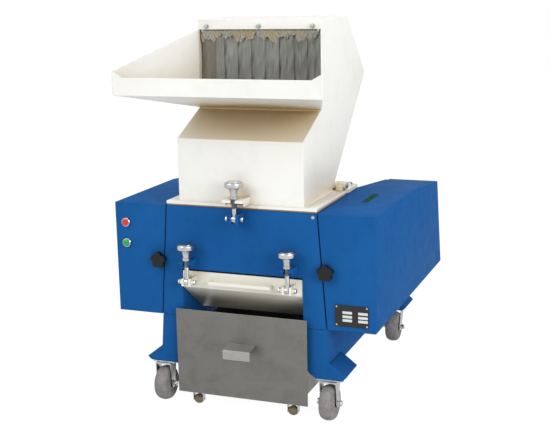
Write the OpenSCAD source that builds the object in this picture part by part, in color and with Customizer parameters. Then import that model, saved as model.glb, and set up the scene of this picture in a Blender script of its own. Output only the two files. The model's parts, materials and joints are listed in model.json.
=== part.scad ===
// Claw-blade plastic granulator on castors: a tilting feed hopper over a cutting chamber,
// a drop-down screen cradle, a roll-out collecting bin and hinged side covers.

/* [Hopper] */
// Depth of the lower box at its flange
hopper_foot_d = 308; // [300:2:312]
// Height of the lower box's front wall above the flange
hopper_box_h = 215; // [180:5:240]
// How far the shoulder runs back from the lower box's front
shoulder_run = 190; // [160:5:195]
// How far the shoulder rises
shoulder_rise = 84; // [60:4:100]
// Height of the head above the shoulder
head_h = 303; // [260:5:340]
// Depth of the head's top plate
head_top_d = 296; // [260:4:320]
// How far the rear corner lies behind the lower box's front
head_rear_y = 718; // [690:4:740]
// Height of the rear corner below the head's top
head_rear_drop = 218; // [190:4:240]
// Height of the band over the mouth
band_h = 35; // [25:1:45]
// Thickness of the hopper's sheet
hopper_t = 3; // [2:0.5:4]
// Thickness of the hopper's flange
flange_t = 10; // [6:1:12]
// How far the hopper's flange stands over the body's sides
flange_over = 1; // [0:0.5:2]

/* [Feed tray] */
// How far the tray reaches in front of the lower box
tray_reach = 190; // [150:5:210]
// How far the tray flares out on each side to its front
tray_flare = 130; // [90:5:140]
// How far the tray's floor rises to the front
tray_rise = 77; // [50:1:90]
// Height of the tray's front lip
tray_lip_h = 57; // [40:1:70]
// Height of the lip's corner gussets above the lip
tray_gusset_h = 20; // [10:1:26]
// Width of the lip's corner gussets
tray_gusset_w = 35; // [20:1:50]

/* [Strip curtain] */
// Number of strips
strip_count = 9; // [5:1:12]
// Thickness of a strip
strip_t = 2.5; // [2:0.5:3]
// Length of the strips
strip_l = 235; // [200:5:245]

/* [Body] */
// Height of the body's top face above the floor
body_top_z = 713; // [700:1:730]
// Room for a bearing between the chamber's end plate and the body's side
side_room = 45; // [43:1:50]
// How far each side flares outwards down to the feet
body_flare = 39; // [20:1:45]
// Height of the feet, over the castors
foot_h = 60; // [50:1:70]
// Thickness of the body's plates
plate_t = 6; // [5:0.5:7]
// How much wider than the chamber the front panel's opening is, on each side
bay_over = 20; // [16:1:23]
// Height of that opening's top edge
bay_top_z = 491; // [488:1:496]
// Rear end of the side plates
body_rear_y = 870; // [850:5:880]

/* [Cutting chamber] */
// Width between the chamber's end plates
chamber_w = 400; // [380:5:420]
// Thickness of the chamber's end plates
end_plate_t = 25; // [20:1:25]
// Radius of the cutting circle
cut_r = 120; // [112:1:122]
// Height of the rotor's axis above the floor
rotor_z = 510; // [505:1:515]
// How far the rotor's axis lies behind the hopper's front
rotor_y = 150; // [148:1:152]
// Diameter of the rotor shaft
shaft_d = 60; // [50:2:64]
// Number of claw rows around the rotor
claw_rows = 3; // [2:1:4]
// Number of claws in a row
claws_per_row = 5; // [3:1:6]
// Gap between the claws' tips and the bed knives
knife_gap = 1; // [0.5:0.1:2]

/* [Screen cradle] */
// Radius of the screen's inner face
screen_r = 128; // [126:0.5:130]
// Thickness of the screen
screen_t = 3; // [2:0.5:4]
// Radius of the cradle's outer skin
cradle_r = 142; // [138:1:143]
// Height of the cradle's front plate
cradle_face_h = 58; // [52:1:62]
// Height of the front plate's lower edge
cradle_face_z = 427; // [424:1:432]
// Length of the cradle's handle
cradle_handle_l = 228; // [160:4:250]

/* [Collecting bin] */
// How far the bin's front plate covers the panel beside the opening
bin_over = 20; // [10:1:26]
// Height of the bin's front plate
bin_face_h = 304; // [280:2:306]
// Clearance of the bin above the floor
bin_z = 49; // [46:1:52]
// Depth of the bin behind its front plate
bin_d = 440; // [360:10:480]
// Height of the bin's side walls
bin_wall_h = 225; // [180:5:235]

/* [Side covers] */
// How far the covers stand out from the body's top
cover_reach = 202; // [194:2:210]
// Height of the covers' lower edge
cover_z = 320; // [312:2:328]
// Where the cover's top starts to fall
cover_bend_y = 458; // [420:2:500]
// Rear end of the cover's top
cover_top_rear_y = 907; // [900:1:915]
// Height of the cover's top at its rear end
cover_rear_z = 668; // [650:2:690]
// Rear end of the cover's lower edge
cover_rear_y = 990; // [970:2:1000]
// Thickness of the covers' sheet
cover_t = 2.5; // [2:0.5:3]

/* [Drive] */
// Outer diameter of the rotor's pulley
rotor_pulley_d = 280; // [240:5:290]
// Outer diameter of the motor's pulley
motor_pulley_d = 140; // [120:5:140]
// Number of belts
belt_count = 3; // [2:1:3]
// Where the motor's axis lies behind the hopper's front
motor_y = 655; // [640:5:670]
// Height of the motor's axis
motor_z = 412; // [406:1:418]
// Diameter of the flywheel
flywheel_d = 290; // [260:5:300]

/* [Clamps] */
// Diameter of a clamp knob's head
clamp_head_d = 62; // [50:1:66]
// Diameter of a swing bolt
clamp_rod_d = 16; // [14:1:18]
// How far the swing bolts stand in front of the hopper's front
clamp_y = 52; // [48:1:56]
// How far in from the opening's edges the cradle's clamps sit
clamp_in = 38; // [30:2:50]

/* [Castors] */
// Diameter of the machine's wheels
wheel_d = 122; // [110:2:124]
// Width of the machine's wheels
wheel_w = 48; // [40:1:50]
// Height of the castors' heads over the tops of their wheels
castor_rise = 23; // [20:1:28]
// How far the castors stand outside the body's top
castor_out = 36; // [30:1:40]
// Where the front castors lie
castor_front_y = 6; // [4:1:10]
// How far in front of the rails' rear ends the rear castors' swivels lie
castor_rear_in = 45; // [40:1:55]
// How far a swivelling wheel trails
castor_trail = 36; // [30:1:38]
// Diameter of the bin's small wheels
small_wheel_d = 34; // [30:1:36]

/* [Hidden] */
castor_h = wheel_d + castor_rise;
foot_top_z = castor_h + foot_h;

// Clearances and small sizes that several pieces share
seat_gap = 0.3;
run_gap = 0.05;
cut = 1;
round_fn = 48;

// Widths, all from the cutting chamber outwards
throat_half_w = chamber_w / 2;
hopper_half_w = throat_half_w + end_plate_t;
hopper_w = hopper_half_w * 2;
body_half_w = hopper_half_w + side_room;
flange_half_w = body_half_w + flange_over;
bay_half_w = throat_half_w + bay_over;
tray_half_w = hopper_half_w + tray_flare;
cover_half_w = body_half_w + cover_reach;
bin_half_w = bay_half_w + bin_over;
clamp_half_span = bay_half_w - clamp_in;
castor_half_track = body_half_w + castor_out;

// Heights of the hopper, from the body's top upwards
seal_t = 5;
flange_z = body_top_z + seal_t;
box_z = flange_z + flange_t;
shoulder_z = box_z + hopper_box_h;
mouth_z = shoulder_z + shoulder_rise;
head_top_z = mouth_z + head_h;
head_corner_z = head_top_z - head_rear_drop;
mouth_lean = 11;
head_front_y = shoulder_run + mouth_lean;
head_back_y = head_front_y + head_top_d;
// How far back the leaning front over the mouth lies at height z
function mouth_y(z) = shoulder_run + mouth_lean * (z - mouth_z) / head_h;
tray_gap = 1;
origin_y = (cover_rear_y - tray_reach) / 2;

// Colours, as the object shows them
white_paint = "#E9E9E2";
cream_paint = "#E4E0D0";
blue_paint = "#2A66B4";
steel = "#A9ADB0";
dark_steel = "#6E7276";
black = "#1F2022";

// Moves what is built from the hopper's front to the frame at the middle of the floor
module place() translate([0, -origin_y, 0]) children();

// An outline in depth and height, run across the machine from x0 to x1
module across(x0, x1) translate([x0, 0, 0]) rotate([90, 0, 90]) linear_extrude(x1 - x0) children();

// An outline in width and height, run from front to back from y0 to y1
module along(y0, y1) translate([0, y1, 0]) rotate([90, 0, 0]) linear_extrude(y1 - y0) children();

// A box between two corners
module block(a, b) translate(a) cube(b - a);

// A cylinder across the machine, from front to back, or upright
module rod_x(r, x0, x1, y, z) translate([x0, y, z]) rotate([0, 90, 0]) cylinder(r = r, h = x1 - x0,
    $fn = round_fn);
module rod_y(r, y0, y1, x, z) translate([x, y1, z]) rotate([90, 0, 0]) cylinder(r = r, h = y1 - y0,
    $fn = round_fn);
module rod_z(r, z0, z1, x, y) translate([x, y, z0]) cylinder(r = r, h = z1 - z0, $fn = round_fn);

// Both sides of the machine
module both_sides() for (side = [0, 1]) mirror([side, 0, 0]) children();

// An outline drawn in by t on every edge, its corners mitred; the outline runs counterclockwise
function unit(v) = v / norm(v);
function inset(pts, t) = [for (i = [0 : len(pts) - 1])
  let (u = unit(pts[i] - pts[(i + len(pts) - 1) % len(pts)]), w = unit(pts[(i + 1) % len(pts)] - pts[i]),
       n1 = [-u[1], u[0]], n2 = [-w[1], w[0]])
  pts[i] + (n1 + n2) * t / (1 + n1 * n2)];

// A flat plate of four corners, t thick on the side of its normal
module slab(q, t) {
  n = unit(cross(q[1] - q[0], q[3] - q[0]));
  polyhedron(
    points = concat(q, [for (p = q) p + n * t]),
    faces = [[0, 1, 2], [0, 2, 3], [4, 6, 5], [4, 7, 6], [0, 5, 1], [0, 4, 5], [1, 6, 2], [1, 5, 6],
             [2, 7, 3], [2, 6, 7], [3, 4, 0], [3, 7, 4]]);
}

// Half width of the flared body at height z
function flare_x(z) = body_half_w + body_flare * (body_top_z - z) / (body_top_z - foot_top_z);

// Hopper: one folded and welded shell, open at the mouth and at the foot
hopper_outline = [
  [0, box_z], [hopper_foot_d, box_z], [head_rear_y, head_corner_z], [head_back_y, head_top_z],
  [head_front_y, head_top_z], [shoulder_run, mouth_z], [0, shoulder_z]];
mouth_sill = 4;

module hopper_shell() color(white_paint) place() difference() {
  across(-hopper_half_w, hopper_half_w) polygon(hopper_outline);
  across(-hopper_half_w + hopper_t, hopper_half_w - hopper_t) polygon(inset(hopper_outline, hopper_t));
  block([-hopper_half_w + hopper_t, shoulder_run / 2, mouth_z + mouth_sill],
        [hopper_half_w - hopper_t, head_front_y + hopper_t * 2, head_top_z - band_h]);
  block([-hopper_half_w + hopper_t, hopper_t, box_z - cut],
        [hopper_half_w - hopper_t, hopper_foot_d - hopper_t, box_z + hopper_t * 2]);
}

flange_front = 7;
flange_back = 14;
module flange_ring(z0, z1, out) difference() {
  block([-flange_half_w + out, -flange_front + out, z0], [flange_half_w - out,
      hopper_foot_d + flange_back - out, z1]);
  block([-hopper_half_w + hopper_t, hopper_t, z0 - cut],
        [hopper_half_w - hopper_t, hopper_foot_d - hopper_t, z1 + cut]);
}
module hopper_flange() color(white_paint) place() flange_ring(flange_z, box_z, 0);

seal_in = 2;
module hopper_seal() color("#A8843C") place() flange_ring(body_top_z + seat_gap, flange_z, seal_in);

// Feed tray: floor, two flared walls and a front lip with corner gussets
tray_floor_z = mouth_z + tray_rise;
module feed_tray() color(white_paint) place() {
  y1 = shoulder_run - tray_gap;
  y0 = -tray_reach;
  back_l = [-hopper_half_w, y1, mouth_z];
  back_r = [hopper_half_w, y1, mouth_z];
  front_l = [-tray_half_w, y0, tray_floor_z];
  front_r = [tray_half_w, y0, tray_floor_z];
  slab([front_l, front_r, back_r, back_l], hopper_t);
  both_sides() slab([
    front_r, front_r + [0, 0, tray_lip_h + tray_gusset_h],
    [hopper_half_w, mouth_y(head_top_z - band_h) - tray_gap, head_top_z - band_h], back_r], hopper_t);
  along(y0, y0 + hopper_t) polygon([
    [-tray_half_w, tray_floor_z], [tray_half_w, tray_floor_z],
    [tray_half_w, tray_floor_z + tray_lip_h + tray_gusset_h],
    [tray_half_w - tray_gusset_w, tray_floor_z + tray_lip_h],
    [tray_gusset_w - tray_half_w, tray_floor_z + tray_lip_h],
    [-tray_half_w, tray_floor_z + tray_lip_h + tray_gusset_h]]);
}

// Three bolts through the band hold the curtain's bar
band_bolt_shares = [-0.43, 0, 0.43];
band_bolt_head_d = 15;
band_bolt_head_h = 6;
bar_h = 22;
bar_t = 5;
bar_z = head_top_z - band_h;
bar_y = mouth_y(bar_z + bar_h) + hopper_t + seat_gap;
module band_bolts() color(dark_steel) place() for (s = band_bolt_shares) {
  rod_y(band_bolt_head_d / 2, mouth_y(bar_z) - seat_gap - band_bolt_head_h, mouth_y(bar_z) - seat_gap,
      s * hopper_w, bar_z + bar_h / 2);
}
curtain_pin_d = 6;
curtain_half_w = hopper_half_w - hopper_t * 3;
curtain_pin_y = bar_y + bar_t + curtain_pin_d + seat_gap;
curtain_pin_z = bar_z - curtain_pin_d;
eye_w = 8;
module curtain_bar() color(white_paint) place() {
  block([-curtain_half_w, bar_y, bar_z], [curtain_half_w, bar_y + bar_t, bar_z + bar_h]);
  rod_x(curtain_pin_d / 2, -curtain_half_w, curtain_half_w, curtain_pin_y, curtain_pin_z);
  both_sides() block([curtain_half_w - eye_w, bar_y, curtain_pin_z - curtain_pin_d / 2],
                     [curtain_half_w, curtain_pin_y, bar_z + bar_h / 2]);
}

// Overlapping strips hang from one rail that swings on the bar's pin
rail_half_w = curtain_half_w - eye_w - seat_gap * 3;
strip_pitch = rail_half_w * 2 / strip_count;
strip_lap = 4;
module strip_curtain() color("#A9B2A8") place() difference() {
  union() {
    rod_x(curtain_pin_d, -rail_half_w, rail_half_w, curtain_pin_y, curtain_pin_z);
    for (i = [0 : strip_count - 1]) {
      x0 = -rail_half_w + strip_pitch * i;
      lap = i < strip_count - 1 ? strip_lap : 0;
      y0 = curtain_pin_y + (i % 2) * strip_t - strip_t;
      block([x0, y0, curtain_pin_z - strip_l], [x0 + strip_pitch + lap, y0 + strip_t,
          curtain_pin_z - curtain_pin_d / 2 - seat_gap]);
    }
  }
  rod_x(curtain_pin_d / 2 + run_gap, -rail_half_w - cut, rail_half_w + cut, curtain_pin_y, curtain_pin_z);
}

// Swing-bolt clamps: a rod with a forked foot on a pin, and a knob that presses a slotted lug
head_h_share = 0.55;
clamp_head_h = 34;
clamp_collar_d = 28;
clamp_neck_d = 22;
clamp_collar_h = 9;
clamp_neck_h = 20;
foot_r = 12;
foot_t = 14;
pin_d = 10;
pin_clear = 1;
fork_side_gap = 1.5;
fork_top_gap = 0.6;
thread_l = 30;
module clamp_rod(x, z_pin, z_seat) place() translate([x, -clamp_y, z_pin]) difference() {
  union() {
    translate([0, 0, foot_r / 2]) cylinder(d = clamp_rod_d, h = z_seat - z_pin - foot_r / 2 + thread_l,
        $fn = round_fn);
    rod_x(foot_r, -foot_t / 2, foot_t / 2, 0, 0);
  }
  block([-foot_t, -pin_d / 2 - fork_side_gap, -foot_r - cut],
        [foot_t, pin_d / 2 + fork_side_gap, pin_d / 2 + fork_top_gap]);
}
// Turned knob: washer, neck and a domed mushroom head with a rim
module clamp_knob(x, z_seat) place() translate([x, -clamp_y, z_seat]) difference() {
  rotate_extrude($fn = round_fn) polygon([
    [0, 0], [clamp_collar_d / 2, 0], [clamp_collar_d / 2, clamp_collar_h],
    [clamp_neck_d / 2, clamp_collar_h], [clamp_neck_d / 2, clamp_collar_h + clamp_neck_h],
    [clamp_head_d / 2 - clamp_rim, clamp_collar_h + clamp_neck_h + clamp_rim],
    [clamp_head_d / 2, clamp_collar_h + clamp_neck_h + clamp_rim * 2],
    [clamp_head_d / 2, clamp_collar_h + clamp_neck_h + clamp_head_h * head_h_share],
    [clamp_head_d / 2 - clamp_rim, clamp_collar_h + clamp_neck_h + clamp_head_h - clamp_rim * 2],
    [clamp_neck_d / 2, clamp_collar_h + clamp_neck_h + clamp_head_h - clamp_rim],
    [0, clamp_collar_h + clamp_neck_h + clamp_head_h - clamp_rim]]);
  translate([0, 0, -cut]) cylinder(r = clamp_rod_d / 2 + run_gap, h = thread_l + seat_gap * 2 + cut,
      $fn = round_fn);
}
clamp_rim = 4;
lock_pin_z = 688;
lock_seat_z = 757;
lug_t = 12;
lug_half_w = 38;
slot_half_w = clamp_rod_d / 2 + pin_clear;

// Slotted lug under a clamp's knob, open to the front, where its top falls away as the knob swings off
lug_front = 18;
lug_lead = 15;
lug_fall = 4;
knob_gap = 0.4;
module slotted_lug(z_top, back_y, half_w) difference() {
  union() {
    across(-half_w, half_w) polygon([
      [-clamp_y - lug_front, z_top - lug_t], [back_y, z_top - lug_t], [back_y, z_top],
      [-clamp_y - lug_front + lug_lead, z_top], [-clamp_y - lug_front, z_top - lug_fall]]);
    both_sides() block([half_w - lug_t / 2, -clamp_y, z_top - lug_t * 2], [half_w, back_y, z_top]);
  }
  block([-slot_half_w, -clamp_y - lug_front - cut, z_top - lug_t - cut], [slot_half_w,
      -clamp_y + slot_half_w, z_top + cut]);
}
module hopper_lock_lug() color(white_paint) place() difference() {
  slotted_lug(lock_seat_z - knob_gap, -seat_gap, lug_half_w);
  block([-lug_half_w - cut, -flange_front - seat_gap, body_top_z], [lug_half_w + cut, 0, box_z + seat_gap]);
}
module hopper_lock_rod() color(steel) clamp_rod(0, lock_pin_z, lock_seat_z);
module hopper_lock_knob() color(steel) clamp_knob(0, lock_seat_z);

// Front panel of the body with its two legs, and the ears that carry the hopper lock's pin
panel_y = -10;
panel_t = 6;
apron_z = 430;
bin_tub_in = 14;
bin_tub_half_w = bay_half_w - bin_tub_in;
guide_gap = 0.5;
guide_z = 225;
guide_h = 20;
ear_t = 8;
ear_h = 34;
ear_gap = 1.5;
nut_r = 8;
module pin_ears(x, z, h, back_y) {
  for (side = [-1, 1]) {
    x0 = x + side * (foot_t / 2 + ear_gap + ear_t / 2);
    block([x0 - ear_t / 2, -clamp_y - foot_r, z - h / 2], [x0 + ear_t / 2, back_y - seat_gap, z + h / 2]);
    x1 = x + side * (foot_t / 2 + ear_gap + ear_t + seat_gap + ear_t / 2);
    rod_x(nut_r, x1 - ear_t / 2, x1 + ear_t / 2, -clamp_y, z);
  }
  rod_x(pin_d / 2, x - foot_t / 2 - ear_gap + seat_gap, x + foot_t / 2 + ear_gap - seat_gap, -clamp_y, z);
}
module lock_pivot() color(steel) place() pin_ears(0, lock_pin_z, ear_h, panel_y);
module cradle_pivots() color(cream_paint) place() for (x = [-clamp_half_span, clamp_half_span])
  pin_ears(x, cradle_pin_z, lug_h, cradle_face_y);
module front_panel() color(blue_paint) place() {
  z0 = cover_z + seat_gap;
  along(panel_y, panel_y + panel_t) polygon([
    [-flare_x(z0), z0], [-bay_half_w, z0], [-bay_half_w, bay_top_z], [bay_half_w, bay_top_z],
    [bay_half_w, z0], [flare_x(z0), z0], [body_half_w, body_top_z], [-body_half_w, body_top_z]]);
  back_y = panel_y + panel_t + seat_gap;
  both_sides() across(bay_half_w, bay_half_w + plate_t) polygon([
    [back_y, foot_top_z + seat_gap], [rotor_y, foot_top_z + seat_gap], [rotor_y, apron_z - seat_gap],
    [panel_y + cut, apron_z - seat_gap], [panel_y + cut, z0], [back_y, z0]]);
  both_sides() block([bin_tub_half_w + guide_gap, back_y, guide_z], [bay_half_w, rotor_y, guide_z + guide_h]);
}

// Flared side plates, with holes for the rotor's shaft and the motor's belts
rail_top_z = 300;
rail_rise = 27;
rail_out = 80;
rail_bottom_z = castor_h + rail_rise;
rail_rear_y = body_rear_y + rail_out;
castor_rear_y = rail_rear_y - castor_rear_in;
shaft_hole_r = 52;
motor_slot_r = 45;
// Height of the covers' tops behind their bend, which the side plates follow
function cover_top(y) = body_top_z
  - (body_top_z - cover_rear_z) * (y - cover_bend_y) / (cover_top_rear_y - cover_bend_y);
side_outline = [
  [panel_y + panel_t + seat_gap, rail_bottom_z], [rail_rear_y, rail_bottom_z], [rail_rear_y, rail_top_z],
  [body_rear_y, rail_top_z], [body_rear_y, cover_top(body_rear_y)], [cover_bend_y, body_top_z],
  [panel_y + panel_t + seat_gap, body_top_z]];
module side_plate() difference() {
  across(body_half_w - plate_t * 2, body_half_w + body_flare * 2) polygon(side_outline);
  along(panel_y - cut, rail_rear_y + cut) polygon([
    [flare_x(body_top_z + cut), body_top_z + cut], [flare_x(rail_bottom_z - cut), rail_bottom_z - cut],
    [body_half_w * 2, rail_bottom_z - cut], [body_half_w * 2, body_top_z + cut]]);
  along(panel_y - cut, rail_rear_y + cut) polygon([
    [0, rail_bottom_z - cut], [flare_x(rail_bottom_z - cut) - plate_t, rail_bottom_z - cut],
    [flare_x(body_top_z + cut) - plate_t, body_top_z + cut], [0, body_top_z + cut]]);
  rod_x(shaft_hole_r, body_half_w / 2, body_half_w * 2, rotor_y, rotor_z);
  rod_x(motor_slot_r, body_half_w / 2, body_half_w * 2, motor_y, motor_z);
}
knob_z = 519;
knob_out = 33;
knob_x = body_half_w + knob_out;
bracket_w = 34;
bracket_gap = 4;
stud_d = 10;
module knob_bracket() difference() {
  block([flare_x(knob_z) - plate_t / 2, panel_y + panel_t + bracket_gap, knob_z - bracket_w / 2],
        [knob_x + bracket_w / 2, panel_y + panel_t + bracket_gap + bracket_w / 2, knob_z + bracket_w / 2]);
  rod_y(stud_d / 2 + run_gap, panel_y, panel_y + bracket_w * 2, knob_x, knob_z);
}
hinge_out = 18;
hinge_x = body_half_w + hinge_out;
hinge_y = 884;
hinge_r = 8;
hinge_pin_r = 4;
hinge_low = 25;
hinge_high = 78;
hinge_zs = [cover_z + hinge_low, cover_rear_z - hinge_high];
hinge_knuckle_h = 28;
module body_knuckles() for (z = hinge_zs) difference() {
  union() {
    rod_z(hinge_r, z, z + hinge_knuckle_h, hinge_x, hinge_y);
    block([min(hinge_x - hinge_r / 2, flare_x(z) - plate_t), body_rear_y - plate_t, z],
          [max(hinge_x + hinge_r / 2, flare_x(z) - plate_t / 2), hinge_y, z + hinge_knuckle_h]);
  }
  rod_z(hinge_pin_r + run_gap, z - cut, z + hinge_knuckle_h + cut, hinge_x, hinge_y);
}
module side_plate_right() color(blue_paint) place() {
  side_plate();
  knob_bracket();
  body_knuckles();
}
module side_plate_left() color(blue_paint) place() mirror([1, 0, 0]) {
  side_plate();
  knob_bracket();
  body_knuckles();
}

// Four hollow feet over the castors, each with an outward toe
foot_l = 136;
foot_chamfer = 43;
foot_chamfer_mid = 20;
foot_toe = 60;
toe_rise = 13;
foot_toe_z = castor_h + toe_rise;
toe_in = 15;
foot_outline = [
  [bay_half_w + foot_chamfer, castor_h], [flare_x(foot_top_z) + foot_toe - toe_in, castor_h],
  [flare_x(foot_top_z) + foot_toe, foot_toe_z], [flare_x(foot_top_z), foot_top_z], [bay_half_w, foot_top_z],
  [bay_half_w, castor_h + foot_chamfer], [bay_half_w + foot_chamfer_mid, castor_h + toe_in]];
module foot(y0) {
  difference() {
    along(y0, y0 + foot_l) polygon(foot_outline);
    along(y0 + plate_t, y0 + foot_l + cut) polygon(inset(foot_outline, plate_t));
    block([body_half_w, max(y0, panel_y + panel_t), rail_bottom_z - seat_gap],
          [flare_x(rail_bottom_z) + seat_gap, rail_rear_y + cut, foot_top_z + cut]);
  }
}
// Upright plate of a front leg, between the foot and the front panel
module leg_plate() along(panel_y, panel_y + panel_t) polygon([
  [bay_half_w, foot_top_z - plate_t], [flare_x(foot_top_z), foot_top_z - plate_t], [flare_x(foot_top_z),
      foot_top_z],
  [flare_x(cover_z), cover_z], [bay_half_w, cover_z]]);
module feet() color(blue_paint) place() both_sides() {
  foot(panel_y);
  leg_plate();
  foot(rail_rear_y - foot_l);
}

// Rear panel with louvre slots, low enough for the tilted hopper
deck_z = 600;
louvre_w = 300;
louvre_h = 8;
louvre_pitch = 24;
louvre_count = 8;
louvre_z = 330;
function rear_half_w(z) = flare_x(z) - plate_t - seat_gap * 2;
module rear_panel() color(blue_paint) place() difference() {
  along(body_rear_y - plate_t * 2, body_rear_y - plate_t) polygon([
    [-rear_half_w(foot_top_z), foot_top_z + seat_gap], [rear_half_w(foot_top_z), foot_top_z + seat_gap],
    [rear_half_w(deck_z), deck_z], [-rear_half_w(deck_z), deck_z]]);
  for (i = [0 : louvre_count - 1]) block(
    [-louvre_w / 2, body_rear_y - plate_t * 3, louvre_z + louvre_pitch * i],
    [louvre_w / 2, body_rear_y, louvre_z + louvre_pitch * i + louvre_h]);
}

// Top plate of the body, round the chamber's throat
wall_gap = 10;
throat_y0 = rotor_y - cut_r - wall_gap;
throat_y1 = rotor_y + cut_r + wall_gap;
top_in = plate_t + seat_gap;
top_rear_y = 465;
module top_plate() color(blue_paint) place() difference() {
  block([-body_half_w + top_in, panel_y + panel_t + seat_gap, body_top_z - plate_t], [body_half_w - top_in,
      top_rear_y, body_top_z]);
  block([-throat_half_w, throat_y0, body_top_z - plate_t - cut], [throat_half_w, throat_y1,
      body_top_z + cut]);
}

// Cutting chamber: two end plates with the shaft's holes, and the front and rear walls
wall_t = 16;
knife_t = 14;
knife_l_in = 1;
module chamber() color(dark_steel) place() {
  both_sides() difference() {
    union() {
      block([throat_half_w, throat_y0 - wall_t, bay_top_z + seat_gap], [throat_half_w + end_plate_t,
          throat_y1 + wall_t, body_top_z - plate_t]);
      block([bay_half_w + seat_gap, throat_y0 - wall_t, apron_z], [throat_half_w + end_plate_t,
          throat_y1 + wall_t, bay_top_z + cut]);
    }
    rod_x(shaft_d / 2 + seat_gap * 2, 0, chamber_w, rotor_y, rotor_z);
  }
  block([-throat_half_w, throat_y0 - wall_t, knife_z + knife_t], [throat_half_w, throat_y0,
      body_top_z - plate_t]);
  block([-throat_half_w, throat_y1, knife_z + knife_t], [throat_half_w, throat_y1 + wall_t,
      body_top_z - plate_t]);
  both_sides() difference() {
    for (x = [cradle_half_w - hinge_l * 3, cradle_half_w - hinge_l]) block(
      [x + seat_gap, throat_y1 + wall_t - cut, cradle_hinge_z - cradle_hinge_r],
      [x + hinge_l - seat_gap * 2, cradle_hinge_y + cradle_hinge_r, knife_z + bracket_up]);
    block([throat_half_w + cut, throat_y1, cradle_hinge_z - cradle_hinge_r - cut],
          [cradle_half_w + cut, throat_y1 + wall_t + seat_gap, bay_top_z + seat_gap]);
    rod_x(cradle_pin_r + run_gap, 0, body_half_w, cradle_hinge_y, cradle_hinge_z);
  }
}
knife_up = 14;
knife_z = rotor_z + knife_up;
module bed_knives() color(steel) place() for (side = [-1, 1])
  translate([0, rotor_y + side * knife_in, knife_z])
    rotate([0, 0, side < 0 ? 180 : 0])
      across(-throat_half_w + knife_l_in, throat_half_w - knife_l_in) polygon([
        [0, knife_t], [knife_edge, 0], [wall_gap + wall_t, 0], [wall_gap + wall_t, knife_t]]);
knife_edge = 5;
knife_in = sqrt(pow(cut_r + knife_gap, 2) - pow(knife_z + knife_t - rotor_z, 2));

// Rotor: shaft, hub with claw seats, and hooked claws bolted to the seats
hub_r = 62;
hub_in = 3;
seat_r = 88;
seat_w = 34;
claw_w = 60;
claw_t = 16;
claw_row_in = 14;
seat_top_share = 0.7;
claw_root_gap = 3;
hook_out = 9.6;
hook_rise = 8;
hook_back = 14.4;
hook_heel = 3;
claw_pitch = (chamber_w - claw_row_in * 2) / claws_per_row;
claw_x0 = claw_row_in + claw_pitch / 2 - throat_half_w;
shaft_over = 3;
module rotor_shaft() color(steel) place() rod_x(
  shaft_d / 2, -flywheel_x - flywheel_w - shaft_over, pulley_x + pulley_w + shaft_over, rotor_y, rotor_z);
module rotor_hub() color(dark_steel) place() translate([0, rotor_y, rotor_z]) difference() {
  union() {
    rod_x(hub_r, -throat_half_w + hub_in, throat_half_w - hub_in, 0, 0);
    for (row = [0 : claw_rows - 1], i = [0 : claws_per_row - 1])
      rotate([row * 360 / claw_rows, 0, 0]) translate([claw_x0 + claw_pitch * i, 0, 0])
        across(-claw_w / 2, claw_w / 2) polygon([
          [0, hub_r / 2], [seat_w, hub_r / 2], [seat_w * seat_top_share, seat_r], [0, seat_r]]);
  }
  rod_x(shaft_d / 2 + run_gap, -chamber_w, chamber_w, 0, 0);
}
module claw_blades() color(steel) place() translate([0, rotor_y, rotor_z])
  for (row = [0 : claw_rows - 1], i = [0 : claws_per_row - 1])
    rotate([row * 360 / claw_rows, 0, 0]) translate([claw_x0 + claw_pitch * i, 0, 0])
      across(-claw_w / 2, claw_w / 2) polygon([
        [-claw_t, hub_r + claw_root_gap], [-seat_gap, hub_r + claw_root_gap], [-seat_gap, seat_r + seat_gap],
        [hook_out, seat_r + hook_rise], [-hook_back, sqrt(pow(cut_r, 2) - pow(hook_back, 2))],
        [-claw_t - hook_heel, seat_r]]);

// Flange bearings on the chamber's end plates
bearing_r = 62;
bearing_t = 32;
bearing_half = 71;
bearing_low = 52;
module bearings() color("#3F6E54") place() both_sides() difference() {
  union() {
    rod_x(bearing_r, hopper_half_w + seat_gap, hopper_half_w + bearing_t, rotor_y, rotor_z);
    block([hopper_half_w + seat_gap, rotor_y - bearing_half, rotor_z - bearing_low],
          [hopper_half_w + bearing_t / 2, rotor_y + bearing_half, rotor_z + bearing_half]);
  }
  rod_x(shaft_d / 2 + run_gap, 0, chamber_w, rotor_y, rotor_z);
}

// Flywheel, pulleys with belt grooves, and the belts
rim_t = 30;
flywheel_hub_d = 108;
pulley_gap = 49.4;
pulley_x = flare_x(rotor_z) + pulley_gap;
flywheel_x = pulley_x + rim_t / 6;
flywheel_w = 50;
web_t = 16;
module flywheel() color(dark_steel) place() translate([-flywheel_x, rotor_y, rotor_z]) rotate([0, -90, 0])
    difference() {
  cylinder(d = flywheel_d, h = flywheel_w, $fn = round_fn);
  for (z = [-cut, flywheel_w / 2 + web_t / 2]) translate([0, 0, z]) difference() {
    cylinder(d = flywheel_d - rim_t * 2, h = flywheel_w / 2 - web_t / 2 + cut, $fn = round_fn);
    translate([0, 0, -cut]) cylinder(d = flywheel_hub_d, h = flywheel_w, $fn = round_fn);
  }
  translate([0, 0, -cut]) cylinder(r = shaft_d / 2 + run_gap, h = flywheel_w + cut * 2, $fn = round_fn);
}
groove_pitch = 19;
groove_d = 11;
groove_top = 13;
groove_bottom = 9;
pulley_edge = 2.5;
pulley_w = groove_pitch * belt_count + pulley_edge * 2;
module v_pulley(d, bore) rotate([0, 90, 0]) difference() {
  cylinder(d = d, h = pulley_w, $fn = round_fn);
  for (i = [0 : belt_count - 1]) translate([0, 0, pulley_w / 2 + groove_pitch * (i - (belt_count - 1) / 2)])
    rotate_extrude($fn = round_fn) polygon([
      [d / 2 - groove_d, -groove_bottom / 2], [d / 2 + cut, -groove_top / 2],
      [d / 2 + cut, groove_top / 2], [d / 2 - groove_d, groove_bottom / 2]]);
  translate([0, 0, -cut]) cylinder(d = bore, h = pulley_w + cut * 2, $fn = round_fn);
}
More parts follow.
